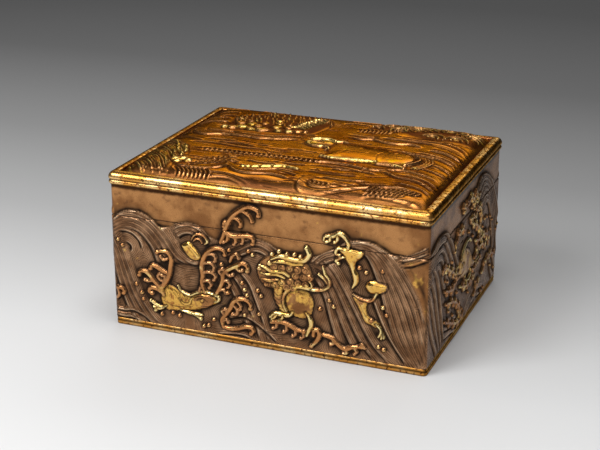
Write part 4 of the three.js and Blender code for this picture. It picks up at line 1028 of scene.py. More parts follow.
def draw_right_rocks(s: ReliefSheet) -> None:
    """The rocks behind at the right, in olive-gold scrolls.

    Args:
        s: the sheet.
    """
    s.body([(12, 31), (14, 36), (19, 41), (28, 43), (40, 43.4), (52, 43), (60.4, 41), (60.6, 34), (59, 26),
            (52, 24.6), (44, 26), (36, 25.4), (28, 26.6), (24, 31), (18, 33)], 0.6, 9.0, 0.0, 0.2)
    # Painted shade in the gaps left between the scrolls, over a darker patina
    s.shade([(12, 31), (14, 36), (19, 41), (28, 43), (52, 43), (60.4, 41), (60, 27), (52, 25), (36, 25.4),
             (24, 31)], 0.9)
    # Each scroll's place and size
    scrolls = ((22, 36, 4.4), (29, 39.4, 4.4), (34.6, 33.4, 8.4), (46.6, 36.6, 6.8), (56.4, 33.6, 6.4),
               (26.4, 32, 4.2), (41, 28.4, 4.2), (51, 28.4, 4.2), (40, 40.6, 3), (52, 40.6, 3), (16, 34, 3))
    for n, (u, v, size) in enumerate(scrolls):
        lean = 0.3 * (n % 3) - 0.3
        for ring in range(round(size / 2.4), 0, -1):
            radius = 2.4 * ring
            line = []
            for step in range(6):
                a = math.pi * (0.02 + 0.19 * step) + lean
                line.append((u + radius * math.cos(a), v + 0.95 * radius * math.sin(a)))
            # A dark cut under each ring of the scroll: a chased line, and painted shade under it
            s.cut([(x, y - 1.2) for x, y in line], 1.7, 0.45)
            s.rod(line, 0.9, 0.24, 0.34 + 0.04 * ring, gilt=0.45, ends=(0.8, 0.8))
        s.lump(u, v, 1.1, 0.8, 0.2, 0.0, 0.4, 0.4)
    s.shade([(11, 30), (13, 37), (19, 42), (28, 44), (52, 44), (61, 42), (61, 26), (52, 24), (36, 24.4),
             (23, 30)], 0.45)


def draw_left_rocks(s: ReliefSheet) -> None:
    """The rocks in front at the left, in long slanted olive-gold strokes.

    Args:
        s: the sheet.
    """
    outline = [(-60.6, -12), (-56, -13), (-50, -16), (-45, -20), (-42, -26), (-42.6, -34), (-42, -42),
               (-43, -46.2), (-60.6, -46.2)]
    s.body(outline, 0.55, 6.0, 0.0, 0.3)
    # Painted shade in the gaps left between the strokes, over a darker patina
    s.shade(outline, 0.85)
    for k in range(30):
        v = -11 - 1.55 * k
        bend = 1.0 * math.sin(1.3 * k)
        line = [(-60.6, v + 5), (-56.4, v + 1.6 + bend), (-51, v - 3.4), (-47.4, v - 8 + bend),
                (-44, v - 13)]
        line = [(u, w) for u, w in line if w > -47]
        if len(line) > 1:
            # A dark cut under each stroke: a chased line, and painted shade under it
            s.cut([(u - 0.6, w - 0.45) for u, w in line], 0.8, 0.35)
            s.rod(line, 0.85, 0.42, 0.4, gilt=0.32 + 0.25 * (k % 2), ends=(0.4, 0.4))
    s.shade([(-61, -9), (-55, -11), (-48, -14), (-44, -20), (-42, -26), (-42.6, -34), (-42, -42),
             (-43, -46.6), (-61, -46.6)], 0.15)
    for k, (u, v) in enumerate(((-47, -18), (-45, -22), (-49, -21), (-44.4, -27), (-48, -26), (-45.4, -32),
                                (-51, -17))):
        s.rod([(u - 1.8, v + 2), (u, v + 0.4), (u + 1.2, v - 2.4)], 1.3, 0.45, 0.4,
              gilt=0.75 + 0.1 * (k % 2))
    for u, v in ((-43.4, -34.2), (-40.6, -33), (-38, -34.4), (-41.6, -36.4)):
        s.lump(u, v, 1.7, 1.1, 0.7, 20, 0.3, 1.0)


def draw_ox(s: ReliefSheet) -> None:
    """The ox on the lid lies with its head to the left, its legs tucked under and its tail to the right.

    Args:
        s: the sheet.
    """
    s.body([(5.4, 6.4), (8, 9.4), (14, 9.2), (22, 8.4), (30, 7), (37, 4.8), (42, 1), (43.6, -4),
            (42.6, -9.6), (38.4, -13.2), (33, -13.6), (27, -12.2), (18, -12.2), (11, -12.2), (7.4, -10),
            (8.4, -5), (6.4, 0.6)], 1.05, 8.5, 0.0, 0.2, 0.35)
    s.lump(35.6, -4, 7.6, 8.4, 1.25, -14, 0.0, 0.2)
    s.cut([(29.8, 0), (28.6, -3), (29.2, -7), (30.4, -10)], 0.6, 0.25)
    s.cut([(12, 3.6), (14.6, 0), (14, -4.6), (11.4, -8)], 0.6, 0.14)
    for u, v in ((20, 2), (24, -3), (35, 0), (38, -5), (34, -8), (17, -5), (25, 4), (40, -1), (31.6, 3)):
        s.cut([(u - 0.5, v - 0.3), (u, v + 0.2), (u + 0.6, v + 0.1)], 0.6, 0.25)
    # A gold wash and a gilt rod along the belly: gilding, with a painted highlight where the belly catches
    # the light
    s.gild([(8, -8), (14, -6.6), (17, -8.6), (24, -7.4), (30, -4.6), (34, -7), (40, -6.4), (42.6, -9.6),
            (38, -13.2), (24, -12.4), (9, -12)], 0.42)
    s.rod([(7.6, -11), (14, -11.8), (22, -11.2), (30, -10.4)], 1.9, 0.7, 0.35, gilt=0.8, ends=(0.5, 0.5))
    s.rod([(31, -12.6), (35, -12), (39, -12.6), (42.6, -14.4)], 2.0, 0.6, 0.35, gilt=0.5)
    s.rod([(42, 1), (44.8, -0.6), (45.6, -4.4), (44, -8), (41.6, -10.6)], 1.2, 0.6, 0.4, gilt=0.25)
    s.cut([(41.2, 2), (43.2, -1), (43.6, -5), (41.6, -9)], 0.9, 0.5)
    for k in range(3):
        s.rod([(46.2 + 1.4 * k, 1.4), (48 + 1.3 * k, -3), (47.4 + 1.2 * k, -8), (45 + 1.2 * k, -12.6)], 1.0,
              0.4, 0.0, gilt=0.3)
    s.body([(-4.4, 4.4), (-3.4, 6.2), (0, 7.4), (4.6, 8.2), (7.6, 7.6), (8, 4.4), (6.4, 1.6), (3, 1),
            (-1, 1.6), (-3.6, 2.8)], 1.15, 3.6, 0.0, 0.5)
    s.lump(-2.8, 4.2, 1.9, 1.7, 1.0, 10, 0.0, 0.7)
    s.cut([(-4.2, 3.4), (-2.8, 3.7), (-1.6, 3.2)], 0.5, 0.3)
    s.cut([(0.4, 3.6), (1.8, 4.4), (3.2, 3.8)], 0.8, 0.5)
    s.rod([(7, 8), (4, 9.4), (0, 9.2), (-2.6, 7.8), (-3.2, 6.6)], 1.3, 0.7, 0.8, gilt=1.0, ends=(0.9, 0.3))
    s.rod([(6.4, 6.6), (3.6, 6.8), (1, 6.4)], 1.4, 0.5, 0.9, gilt=0.9, ends=(0.8, 0.4))
    s.rod([(7.8, 7), (10, 8.2), (12.6, 7.4)], 1.4, 0.5, 0.9, gilt=0.5, ends=(0.8, 0.3))
    s.rod([(-3.4, 2), (0.6, 0.4), (4.6, 0.8), (7, -0.6), (6.6, -3)], 1.1, 0.6, 0.3, gilt=0.6,
          ends=(0.5, 0.4))


DRAWINGS = {"front": draw_front, "right": draw_end, "back": draw_back, "left": draw_end}


@dataclass
class Panel:
    """A closed panel whose shown face is a fine grid, with the finishes' own marks on its vertices."""

    name: str
    body: str
    node: str
    finish: Finish
    material: Material

    def build(self, shown: Grid, hidden: Grid, marks: dict[str, Grid]) -> None:
        """Makes the panel, which rides on its body in place of its CAD node.

        Args:
            shown: the shown face's points, in rows of columns, in millimetres.
            hidden: where each of them would lie on the flat hidden face.
            marks: values for the material, each in the same rows of columns.
        """
        rows, columns = shown.shape[:2]
        bm = bmesh.new()
        bmesh.ops.create_grid(bm, x_segments=columns - 1, y_segments=rows - 1, size=1.0)
        bm.verts.index_update()
        for vert, place in zip(bm.verts, shown.reshape(-1, 3)):
            vert.co = place
        rim = [edge for edge in bm.edges if edge.is_boundary]
        flat = hidden.reshape(-1, 3)
        places = {tuple(vert.co): flat[vert.index] for edge in rim for vert in edge.verts}
        grown = bmesh.ops.extrude_edge_only(bm, edges=rim)["geom"]
        loop = [item for item in grown if isinstance(item, bmesh.types.BMEdge) and item.is_boundary]
        for vert in {vert for edge in loop for vert in edge.verts}:
            vert.co = places[tuple(vert.co)]
        for edge in rim + loop:
            edge.smooth = False
        back = bmesh.ops.contextual_create(bm, geom=loop)["faces"]
        bmesh.ops.poke(bm, faces=back)
        bmesh.ops.recalc_face_normals(bm, faces=bm.faces)
        for face in bm.faces:
            face.smooth = True
        made = as_object(bm, self.name, self.material)
        for mark, values in marks.items():
            layer = made.data.attributes.new(mark, "FLOAT", "POINT")
            whole = np.zeros(len(made.data.vertices), np.float32)
            whole[: rows * columns] = values.reshape(-1)
            layer.data.foreach_set("value", whole)
        seat(made, self.body, self.node)


def as_object(bm: bmesh.types.BMesh, name: str, material: Material,
              unit: float = MM) -> bpy.types.Object:
    """Turns a mesh into an object at the origin.

    Args:
        bm: the mesh, which is freed.
        name: the piece's name.
        material: its finish.
        unit: the mesh's unit, in metres.

    Returns:
        The object.
    """
    bmesh.ops.scale(bm, vec=Vector((unit, unit, unit)), verts=bm.verts)
    mesh = bpy.data.meshes.new(name)
    bm.to_mesh(mesh)
    bm.free()
    mesh.materials.append(material)
    made = bpy.data.objects.new(name, mesh)
    bpy.context.scene.collection.objects.link(made)
    return made


def seat(made: bpy.types.Object, body: str, node: str) -> None:
    """Finishes a piece and reports it.

    Args:
        made: the piece.
        body: the body that it rides on.
        node: the CAD node that it replaces.
    """
    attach(made, body)
    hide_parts(node)
    LOG.info("%s: %d points", made.name, len(made.data.vertices))


def turned(points: Grid, quarters: int) -> Grid:
    """Turns points about the upright axis by quarter turns."""
    angle = quarters * math.pi / 2
    c, s = round(math.cos(angle)), round(math.sin(angle))
    x, y = points[..., 0], points[..., 1]
    return np.stack([c * x - s * y, s * x + c * y, points[..., 2]], -1)


@dataclass(frozen=True)
class Hollows:
    """Where dirt and painted shade lie in a relief.

    near and wide are how far around it looks, in millimetres, gain how fast a hollow darkens with its depth
    under what is near, and slack the depth under what lies wider that stays clean.
    """

    near: float
    wide: float
    gain: float
    slack: float

    def find(self, relief: Grid, pitch: float) -> tuple[Grid, Grid]:
        """Finds where relief lies lower than what surrounds it.

        Args:
            relief: heights in rows of columns.
            pitch: how far apart they are.

        Returns:
            Each point's depth under what is near, and how dark its hollow is, from 0 to 1.
        """
        near, wide = (blurred(relief, round(reach / pitch)) - relief for reach in (self.near, self.wide))
        dark = np.clip(near, 0.0, None) * self.gain + np.clip(wide - self.slack, 0.0, None) * 3.0
        return near, np.clip(dark, 0.0, 1.0)


@dataclass
class Walls:
    """The four chased sides of the body and of the lid, each side's relief drawn in one over both.

    Near the upright corners and below corner_top the relief settles to corner_level.
    """

    material: Material
    foot: float = 2.8
    join: float = 46.2
    head: float = 58.6
    body_back: float = 3.2
    lid_back: float = 2.9
    eased_from: float = 0.95
    highest: float = 1.35
    join_groove: float = 0.3
    join_groove_half_width: float = 0.4
    corner_blend: float = 1.6
    corner_level: float = 0.35
    corner_top: float = 50.0
    soot_band: float = 2.6
    hollows: Hollows = Hollows(0.6, 1.8, 3.2, 0.03)

    def drawn(self, side: Side, end_u: float) -> tuple[ReliefSheet, int]:
        """Draws one side over the whole height of wall and lid.

        Args:
            side: the side.
            end_u: how far it reaches either way from its middle.

        Returns:
            The sheet, and the row that the join between body and lid runs along.
        """
        us = np.linspace(-end_u, end_u, int(2 * end_u / PITCH) + 1)
        low = np.linspace(self.foot, self.join, int((self.join - self.foot) / PITCH) + 1)
        high = np.linspace(self.join, self.head, int((self.head - self.join) / PITCH) + 1)[1:]
        sheet = ReliefSheet(us, np.concatenate([low, high]))
        DRAWINGS[side.name](sheet)
        LOG.info("drew the %s", side.name)
        return sheet, len(low) - 1

    def levelled(self, sheet: ReliefSheet, end_u: float) -> Grid:
        """Settles a drawing's heights at the corners, the join and the foot."""
        height = rounded_off(sheet.height, self.eased_from, self.highest)
        blend = smooth_step((end_u - np.abs(sheet.u)) / self.corner_blend)
        corner = self.corner_level * smooth_step((self.corner_top - sheet.v) / 2.0)
        height = corner + (height - corner) * blend
        from_join = np.abs(sheet.v - self.join) / self.join_groove_half_width
        height = height - self.join_groove * np.clip(1.0 - from_join, 0.0, 1.0)
        return np.minimum(height, 0.1 + 1.0 * (sheet.v - self.foot))

    def bent(self, side: Side, u: Grid, v: Grid, height: Grid) -> Grid:
        """Lays a side's points on its wall, bent round the rounded upright corners.

        Args:
            side: the side.
            u: how far along the wall from its middle.
            v: how high.
            height: how far out from the ground.

        Returns:
            The points, for a side that faces the front.
        """
        reach, across = side.span / 2 - GROUND_INSET, side.cross / 2 - GROUND_INSET
        straight = reach - CORNER_RADIUS
        angle = np.clip((np.abs(u) - straight) / CORNER_RADIUS, 0.0, math.pi / 4)
        out = CORNER_RADIUS + height
        x = np.sign(u) * (np.minimum(np.abs(u), straight) + out * np.sin(angle))
        y = -(across - CORNER_RADIUS) - out * np.cos(angle)
        return np.stack([x, y, v], -1)

    def marks(self, sheet: ReliefSheet, height: Grid) -> dict[str, Grid]:
        """Works out what the wall's finish needs to know at each point.

        Args:
            sheet: the drawing.
            height: its heights as they are built.

        Returns:
            The marks by name, from 0 to 1, and the hatching's distance in millimetres.
        """
        near, recess = self.hollows.find(height, PITCH)
        # Painted shade on the plain ground just under the lid's moulding, darker towards the top
        soot = smooth_step((sheet.v - (self.head - self.soot_band)) / 2.4) * (1.0 - sheet.water)
        wet = sheet.water * (1.0 - np.clip(sheet.gilt * 4.0, 0.0, 1.0))
        # Crests: rubbed bare, with a painted highlight, broader on the water
        crest = np.clip(-near * (3.4 + 2.6 * wet) - 0.35 * (1.0 - wet), 0.0, 1.0)
        return {"gilt": sheet.gilt, "recess": recess, "ink": np.clip(sheet.ink, 0.0, 1.0), "crest": crest,
                "grain": sheet.grain, "water": wet, "soot": soot}

    def build(self) -> None:
        """Makes the eight panels."""
        for side in SIDES:
            end_u = side.span / 2 - GROUND_INSET - CORNER_RADIUS + CORNER_RADIUS * math.pi / 4
            sheet, row = self.drawn(side, end_u)
            height = self.levelled(sheet, end_u)
            marks = self.marks(sheet, height)
            for stem, body, rows, back_inset in (("body_wall_", "box", slice(0, row + 1), self.body_back),
                                                 ("lid_wall_", "lid", slice(row, None), self.lid_back)):
                u, v = sheet.u[rows], sheet.v[rows]
                shown = self.bent(side, u, v, height[rows])
                half = side.span / 2 - back_inset
                hidden = np.stack([u / end_u * half, np.full_like(u, back_inset - side.cross / 2), v], -1)
                node = stem + side.name
                Panel("chased_" + node, body, node, Finish.WALL, self.material).build(
                    turned(shown, side.turn), turned(hidden, side.turn),
                    {name: values[rows] for name, values in marks.items()})


@dataclass
class LidTop:
    """The lid's pillowed plate, with its shallow picture.

    The relief fades out over fade_x and fade_y at the plate's edges, where painted shade darkens the plate
    next to its rail over its shade band.
    """

    material: Material
    half_x: float = 60.9
    half_y: float = 46.4
    border: float = 62.6
    rise: float = 3.8
    power: float = 16.0
    under: float = 61.4
    eased_from: float = 0.9
    highest: float = 1.25
    fade_x: float = 4.0
    fade_y: float = 3.6
    soot_band: float = 2.2
    hollows: Hollows = Hollows(0.7, 2.2, 5.0, 0.02)

    def build(self) -> None:
        """Makes the plate."""
        us, vs = (np.linspace(-half, half,
                              int(2 * half / LID_PITCH) + 1) for half in (self.half_x, self.half_y))
        sheet = ReliefSheet(us, vs)
        draw_lid(sheet)
        LOG.info("drew the lid")
        a, b = np.abs(sheet.u / self.half_x), np.abs(sheet.v / self.half_y)
        pillow = (1.0 - a**self.power) * (1.0 - b**self.power)
        in_x, in_y = self.half_x - np.abs(sheet.u), self.half_y - np.abs(sheet.v)
        edge = smooth_step(in_x / self.fade_x) * smooth_step(in_y / self.fade_y)
        relief = rounded_off(sheet.height, self.eased_from, self.highest) * edge
        shown = np.stack([sheet.u, sheet.v, self.border + self.rise * pillow + relief], -1)
        hidden = np.stack([sheet.u, sheet.v, np.full_like(sheet.u, self.under)], -1)
        near, recess = self.hollows.find(relief, LID_PITCH)
        marks = {"gilt": sheet.gilt, "recess": recess, "ink": np.clip(sheet.ink, 0.0, 1.0),
                 # Crests: rubbed bare, with a painted highlight
                 "crest": np.clip(-near * 5.0 - 0.3, 0.0, 1.0),
                 # The band along the plate's edges is painted shade next to the rail
                 "soot": 1.0 - smooth_step(np.minimum(in_x, in_y) / self.soot_band)}
        Panel("chased_lid_top", "lid", "lid_top", Finish.PANEL, self.material).build(shown, hidden, marks)


def arc(centre: tuple[float, float], radii: tuple[float, float], start: float, end: float,
        steps: int) -> Points:
    """Points on part of an ellipse, by angle in degrees, with its first and last included."""
    angles = np.radians(np.linspace(start, end, steps + 1))
    return [(centre[0] + radii[0] * math.cos(a), centre[1] + radii[1] * math.sin(a)) for a in angles]


# How far each side's gold is rubbed away, from none to all
GOLD_WEAR = {"front": 0.0, "right": 0.35, "back": 0.8, "left": 0.8}


@dataclass
class Moulding:
    """A moulded rail round the box, in four bars with mitred ends.

    Each section point is how far in from the frame it lies and how high. quirks are the places along the
    section, by inset and height, where dirt and painted shade darken it. The bars are a little uneven as far
    in as the walls' faces: waves holds the length, the share and the start of each wave of that.
    """

    stem: str
    body: str
    section: Points
    quirks: Points
    material: Material
    pitch: float = 1.2
    crowding: float = 1.6
    wobble: float = 0.05
    wobble_inset: float = 2.6
    waves: tuple[Place, ...] = ((5.3, 1.0, 0.0), (2.1, 0.6, 1.7))
    quirk_dirt: float = 0.42
    mitre_dirt: float = 0.5
    sharp: float = 0.65

    def build(self) -> None:
        """Makes the four bars."""
        for side in SIDES:
            node = self.stem + side.name
            seat(self.bar(side, "moulded_" + node), self.body, node)

    def path(self, side: Side, t: float, inset: float) -> tuple[float, float]:
        """Finds a place along one inset of a bar that faces the front.

        Args:
            side: the side that the bar lies along.
            t: how far along it, from -1 at one mitre to 1 at the other.
            inset: how far in from the frame.

        Returns:
            Its x and y, on a line whose ends follow the rounded corner outside the corner's own centre.
        """
        reach = side.span / 2 - inset
        radius = max(0.0, CORNER_RADIUS + GROUND_INSET - inset)
        if radius == 0.0:
            return t * reach, inset - side.cross / 2
        straight = reach - radius
        run = abs(t) * (straight + radius * math.pi / 4)
        angle = max(0.0, run - straight) / radius
        x = math.copysign(min(run, straight) + radius * math.sin(angle), t)
        return x, inset - side.cross / 2 + radius * (1 - math.cos(angle))

    def bar(self, side: Side, name: str) -> bpy.types.Object:
        """Makes one bar.

        Args:
            side: the side that it lies along.
            name: the bar's name.

        Returns:
            The bar.
        """
        count = len(self.section)
        steps = int(side.span / self.pitch)
        bm = bmesh.new()
        bmesh.ops.create_grid(bm, x_segments=steps, y_segments=count, size=1.0)
        recess = bm.verts.layers.float.new("recess")
        wear = bm.verts.layers.float.new("wear")
        bm.verts.index_update()
        for vert in bm.verts:
            row, column = divmod(vert.index, steps + 1)
            inset, z = self.section[row % count]
            even = 2 * column / steps - 1
            t = math.copysign(1 - (1 - abs(even)) ** self.crowding, even)
            x, y = self.path(side, t, inset)
            if inset < self.wobble_inset:
                along = t * side.span / 2 + 31 * side.turn
                uneven = sum(share * math.sin(along / length + start) for length, share, start in self.waves)
                y += max(0.0, self.wobble * min(1.0, 12 * (1 - abs(t))) * uneven)
            vert.co = turned(np.array([x, y, z]), side.turn)
            # Dirt and painted shade in the quirks, and a dark joint at each mitre
            nearest = min(math.dist((inset, z), quirk) for quirk in self.quirks)
            mitre = (1 - abs(t)) * side.span / 2
            vert[recess] = max(math.exp(-((nearest / self.quirk_dirt) ** 2)),
                               0.7 * math.exp(-((mitre / self.mitre_dirt) ** 2)))
            vert[wear] = GOLD_WEAR[side.name]
        bmesh.ops.remove_doubles(bm, verts=bm.verts, dist=0.0005)
        bmesh.ops.holes_fill(bm, edges=[edge for edge in bm.edges if edge.is_boundary], sides=0)
        bmesh.ops.recalc_face_normals(bm, faces=bm.faces)
        for face in bm.faces:
            face.smooth = True
        for edge in bm.edges:
            edge.smooth = edge.calc_face_angle(0.0) < self.sharp
        return as_object(bm, name, self.material)


def lid_section() -> Points:
    """The lid moulding's outline: ledge, inner wall, crown, broad ovolo, quirk and bead."""
    return ([(5.2, 58.6), (5.2, 61.4), (4.0, 61.4), (4.0, 62.0), (4.0, 62.7)]
            + arc((3.2, 62.8), (0.8, 0.8), 12, 90, 5)
            + arc((2.2, 61.21), (2.2, 2.39), 90, 176, 12)
            + [(0.12, 60.95), (0.5, 60.62), (0.56, 60.52)]
            + arc((1.0, 59.635), (0.9, 0.9), 122, 236, 10)
            + [(0.63, 58.6), (2.0, 58.6), (3.6, 58.6)])


def base_section() -> Points:
    """The base moulding's outline: ledge, inner wall, a small bead and a plain foot."""
    return ([(5.3, 0.0), (5.3, 1.0), (4.1, 1.0), (4.1, 2.8), (3.0, 2.8), (1.2, 2.8)]
            + arc((1.2, 2.3), (0.5, 0.5), 100, 225, 8)
            + [(0.76, 1.78), (0.7, 1.6), (0.7, 0.9), (0.7, 0.3)]
            + arc((0.95, 0.25), (0.25, 0.25), 190, 268, 4)
            + [(2.4, 0.0), (3.9, 0.0)])


@dataclass
class InnerSheets:
    """The sheets that keep their CAD meshes: the linings of body and lid, and the base plate."""

    lining: Material
    base: Material

    def build(self) -> None:
        """Dresses the sheets."""
        for name in ("lining_front", "lining_right", "lining_back", "lining_left", "lining_floor",
                     "lid_lining"):
            self.dress(name, self.lining)
        self.dress("base_plate", self.base)

    def dress(self, name: str, material: Material) -> None:
        """Gives one CAD node its material and slot."""
        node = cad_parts[name]
        node.data.materials.clear()
        node.data.materials.append(material)
        LOG.info("%s: dressed", name)


def linear(code: str) -> tuple[float, float, float, float]:
    """Turns an sRGB hex colour such as #a07050 into linear light."""
    parts = []
    for start in (1, 3, 5):
        value = int(code[start:start + 2], 16) / 255
        parts.append(value / 12.92 if value <= 0.04045 else ((value + 0.055) / 1.055) ** 2.4)
    return *parts, 1.0


def add_node(tree: bpy.types.NodeTree, kind: str, inputs: dict | None = None, **settings) -> bpy.types.Node:
    """Adds one node, sets it up and links it.

    Args:
        tree: the material's tree.
        kind: the node's type.
        inputs: sockets, values or hex colours for its inputs, by name or place.
        settings: its own settings.

    Returns:
        The node.
    """
    made = tree.nodes.new(kind)
    for name, value in settings.items():
        setattr(made, name, value)
    for key, value in (inputs or {}).items():
        if isinstance(value, Socket):
            tree.links.new(value, made.inputs[key])
        else:
            made.inputs[key].default_value = linear(value) if isinstance(value, str) else value
    return made


class Step(Enum):
    """What one node of a finish does: its kind, the inputs that take values, its output and its settings.

    EASE runs a value from 0 to 1 between two limits, and MIX mixes two colours by a share.
    """

    MARK = ("ShaderNodeAttribute", (), "Fac", {})
    NOISE = ("ShaderNodeTexNoise", ("Vector", "Scale", "Detail"), "Fac", {})
    MOVE = ("ShaderNodeMapping", ("Vector", "Location", "Scale"), 0, {})
    SPLIT = ("ShaderNodeSeparateXYZ", (0,), "Y", {})
    EASE = ("ShaderNodeMapRange", (0, 1, 2), 0, {"interpolation_type": "SMOOTHSTEP"})
    MIX = ("ShaderNodeMix", (0, 6, 7), 2, {"data_type": "RGBA"})
    PLUS = ("ShaderNodeMath", (0, 1), 0, {"operation": "ADD"})
    MINUS = ("ShaderNodeMath", (0, 1), 0, {"operation": "SUBTRACT"})
    TIMES = ("ShaderNodeMath", (0, 1), 0, {"operation": "MULTIPLY"})
    TIMES_PLUS = ("ShaderNodeMath", (0, 1, 2), 0, {"operation": "MULTIPLY_ADD"})
    OVER = ("ShaderNodeMath", (0, 1), 0, {"operation": "DIVIDE"})
    LARGER = ("ShaderNodeMath", (0, 1), 0, {"operation": "MAXIMUM"})
    SINE = ("ShaderNodeMath", (0,), 0, {"operation": "SINE"})


class Recipe:
    """A material's node tree, built up step by step."""

    def __init__(self, name: str, *marks: str) -> None:
        """Starts a material of the given name, which reads the named marks of its mesh."""
        self.material = bpy.data.materials.new(name)
        self.material.use_nodes = True
        self.tree = self.material.node_tree
        self.tree.nodes.clear()
        self.coords = add_node(self.tree, "ShaderNodeTexCoord").outputs["Object"]
        self.marks = [self.add(Step.MARK, attribute_name=mark) for mark in marks]

    def add(self, step: Step, *values, **settings) -> Socket:
        """Adds one step.

        Args:
            step: what it does.
            values: sockets, values or hex colours for the step's inputs, in order.
            settings: its node's own settings.

        Returns:
            Its result.
        """
        kind, places, output, fixed = step.value
        return add_node(self.tree, kind, dict(zip(places, values)), **fixed, **settings).outputs[output]

    def patches(self, size: float, detail: float, seed: float = 0.0,
                stretch: Place = (1.0, 1.0, 1.0)) -> Socket:
        """Makes uneven patches.

        Args:
            size: about how large they are, in millimetres.
            detail: how many finer layers they have.
            seed: picks another pattern.
            stretch: how many times longer they are along x, y and z.

        Returns:
            Their value, from 0 to 1.
        """
        place = self.coords
        if seed:
            place = self.add(Step.MOVE, place, (seed, 0.7 * seed, 0.3 * seed),
                             [1 / times for times in stretch])
        return self.add(Step.NOISE, place, 1 / (size * MM), detail)

    def surface(self, inputs: dict, height: Socket | None = None) -> Material:
        """Ends the recipe with its shader.

        Args:
            inputs: the shader's inputs by name.
            height: fine height in millimetres, or nothing.

        Returns:
            The material.
        """
        if height is not None:
            bump = add_node(self.tree, "ShaderNodeBump", {"Height": height, "Distance": MM, "Strength": 1.0})
            inputs = {**inputs, "Normal": bump.outputs[0]}
        shader = add_node(self.tree, "ShaderNodeBsdfPrincipled", inputs)
        add_node(self.tree, "ShaderNodeOutputMaterial", {"Surface": shader.outputs[0]})
        return self.material


@dataclass(frozen=True)
class ChasedCopper:
    """Chased copper sheet: brown patina, hatched water, rubbed crests with painted highlight, worn fire
    gilding, painted shade.
    """

    ground: str = "#b17e4e"
    ground_dark: str = "#845834"
    stain: str = "#5c3c28"
    water: str = "#8d6546"
    water_light: str = "#b98d68"
    # Crest colours: rubbed copper with a painted highlight, paler on the water
    rubbed: str = "#d6945a"
    rubbed_water: str = "#e2bc96"
    gold: str = "#e8b458"
    # The paler gold of burnished crests, with a painted highlight
    gold_pale: str = "#fbe09a"
    worn_gold: str = "#a86f3c"
    deep: str = "#120a05"
    # The colour of the painted shade under the lid's moulding
    soot: str = "#3a2314"
    hatch: float = 0.66
    rough: float = 0.26

    def build(self) -> Material:
        """Makes the material."""
        r = Recipe("patinated copper, chased and fire-gilt", "crest", "recess", "water", "grain", "soot",
                   "gilt", "ink")
        crest, recess, water, grain, soot, gilt, ink = r.marks
        cloud, stain, speck = r.patches(9, 5), r.patches(2.2, 5, 0.31), r.patches(0.5, 3, 0.77)
        # Patina: cloudy brown on the plain ground, paler on the water, bare where hands rub the crests, with
        # a painted highlight on them
        ground = r.add(Step.MIX, r.add(Step.EASE, cloud, 0.38, 0.66), self.ground, self.ground_dark)
        blotch = r.add(Step.TIMES, r.add(Step.EASE, r.patches(3.4, 5, 0.58), 0.58, 0.74), 0.55)
        ground = r.add(Step.MIX, blotch, ground, self.stain)
        sea = r.add(Step.MIX, r.add(Step.EASE, r.patches(6, 3, 0.22), 0.35, 0.68), self.water,
                    self.water_light)
        colour = r.add(Step.MIX, water, ground, sea)
        rubbed = r.add(Step.MIX, water, self.rubbed, self.rubbed_water)
        edge = r.add(Step.MIX, water, crest, r.add(Step.EASE, crest, 0.45, 1.0))
        colour = r.add(Step.MIX, r.add(Step.TIMES, edge, 0.75), colour, rubbed)
        # Fine lines chased along the water, worn away in places
        stroke = r.add(Step.SINE, r.add(Step.TIMES, grain, 2 * math.pi / self.hatch))
        stroke = r.add(Step.TIMES_PLUS, stroke, 0.5, 0.5)
        worn = r.add(Step.TIMES_PLUS, r.add(Step.EASE, r.patches(4, 2, 0.5), 0.25, 0.62), 0.6, 0.4)
        hatched = r.add(Step.TIMES, r.add(Step.TIMES, stroke, water), worn)
        colour = r.add(Step.MIX, r.add(Step.TIMES, hatched, 0.7), colour, self.deep)
        # Painted shade under the lid's moulding, blended with the stains, and pits
        shade_and_stain = r.add(Step.EASE, r.add(Step.PLUS, soot, r.add(Step.TIMES, stain, 0.6)), 0.45, 1.15)
        colour = r.add(Step.MIX, shade_and_stain, colour, self.soot)
        pits = r.add(Step.TIMES, r.add(Step.EASE, speck, 0.66, 0.74),
                     r.add(Step.TIMES_PLUS, water, -0.5, 0.65))
        colour = r.add(Step.MIX, pits, colour, self.deep)
        # Fire gilding, worn in patches, and paler on the crests where it is burnished and carries a painted
        # highlight
        patch = r.add(Step.TIMES_PLUS, r.patches(4.5, 5, 0.66), 2.2, -1.1)
        left = r.add(Step.EASE, r.add(Step.TIMES_PLUS, gilt, 1.15, patch), 0.42, 0.78)
        thin = r.add(Step.EASE, r.add(Step.TIMES_PLUS, crest, -0.5, r.patches(1.3, 4, 0.12)), 0.46, 0.66)
        gold = r.add(Step.MIX, crest, r.add(Step.MIX, thin, self.gold, self.worn_gold), self.gold_pale)
        colour = r.add(Step.MIX, left, colour, gold)
        # Dirt and painted shade in the recesses and the chased lines, and painted shade below the wave ridges
        lined = r.add(Step.TIMES, ink, r.add(Step.TIMES_PLUS, stain, 0.6, 0.6), use_clamp=True)
        sunk = r.add(Step.TIMES, recess, r.add(Step.TIMES_PLUS, stain, 0.5, 0.65), use_clamp=True)
        dirt_and_shade = r.add(Step.LARGER, sunk, lined)
        colour = r.add(Step.MIX, dirt_and_shade, colour, self.deep)
        rough = r.add(Step.TIMES_PLUS, dirt_and_shade, 0.42, r.add(Step.TIMES_PLUS, stain, 0.2, self.rough - 0.1))
        rough = r.add(Step.TIMES_PLUS, left, -0.08, rough)
        metal = r.add(Step.TIMES_PLUS, dirt_and_shade, -0.2, 1.0)
        hammered = r.add(Step.TIMES, r.patches(3.2, 2, 0.9), 0.04)
        height = r.add(Step.TIMES_PLUS, hatched, -0.09, r.add(Step.TIMES_PLUS, speck, 0.014, hammered))
        return r.surface({"Base Color": colour, "Roughness": rough, "Metallic": metal}, height)


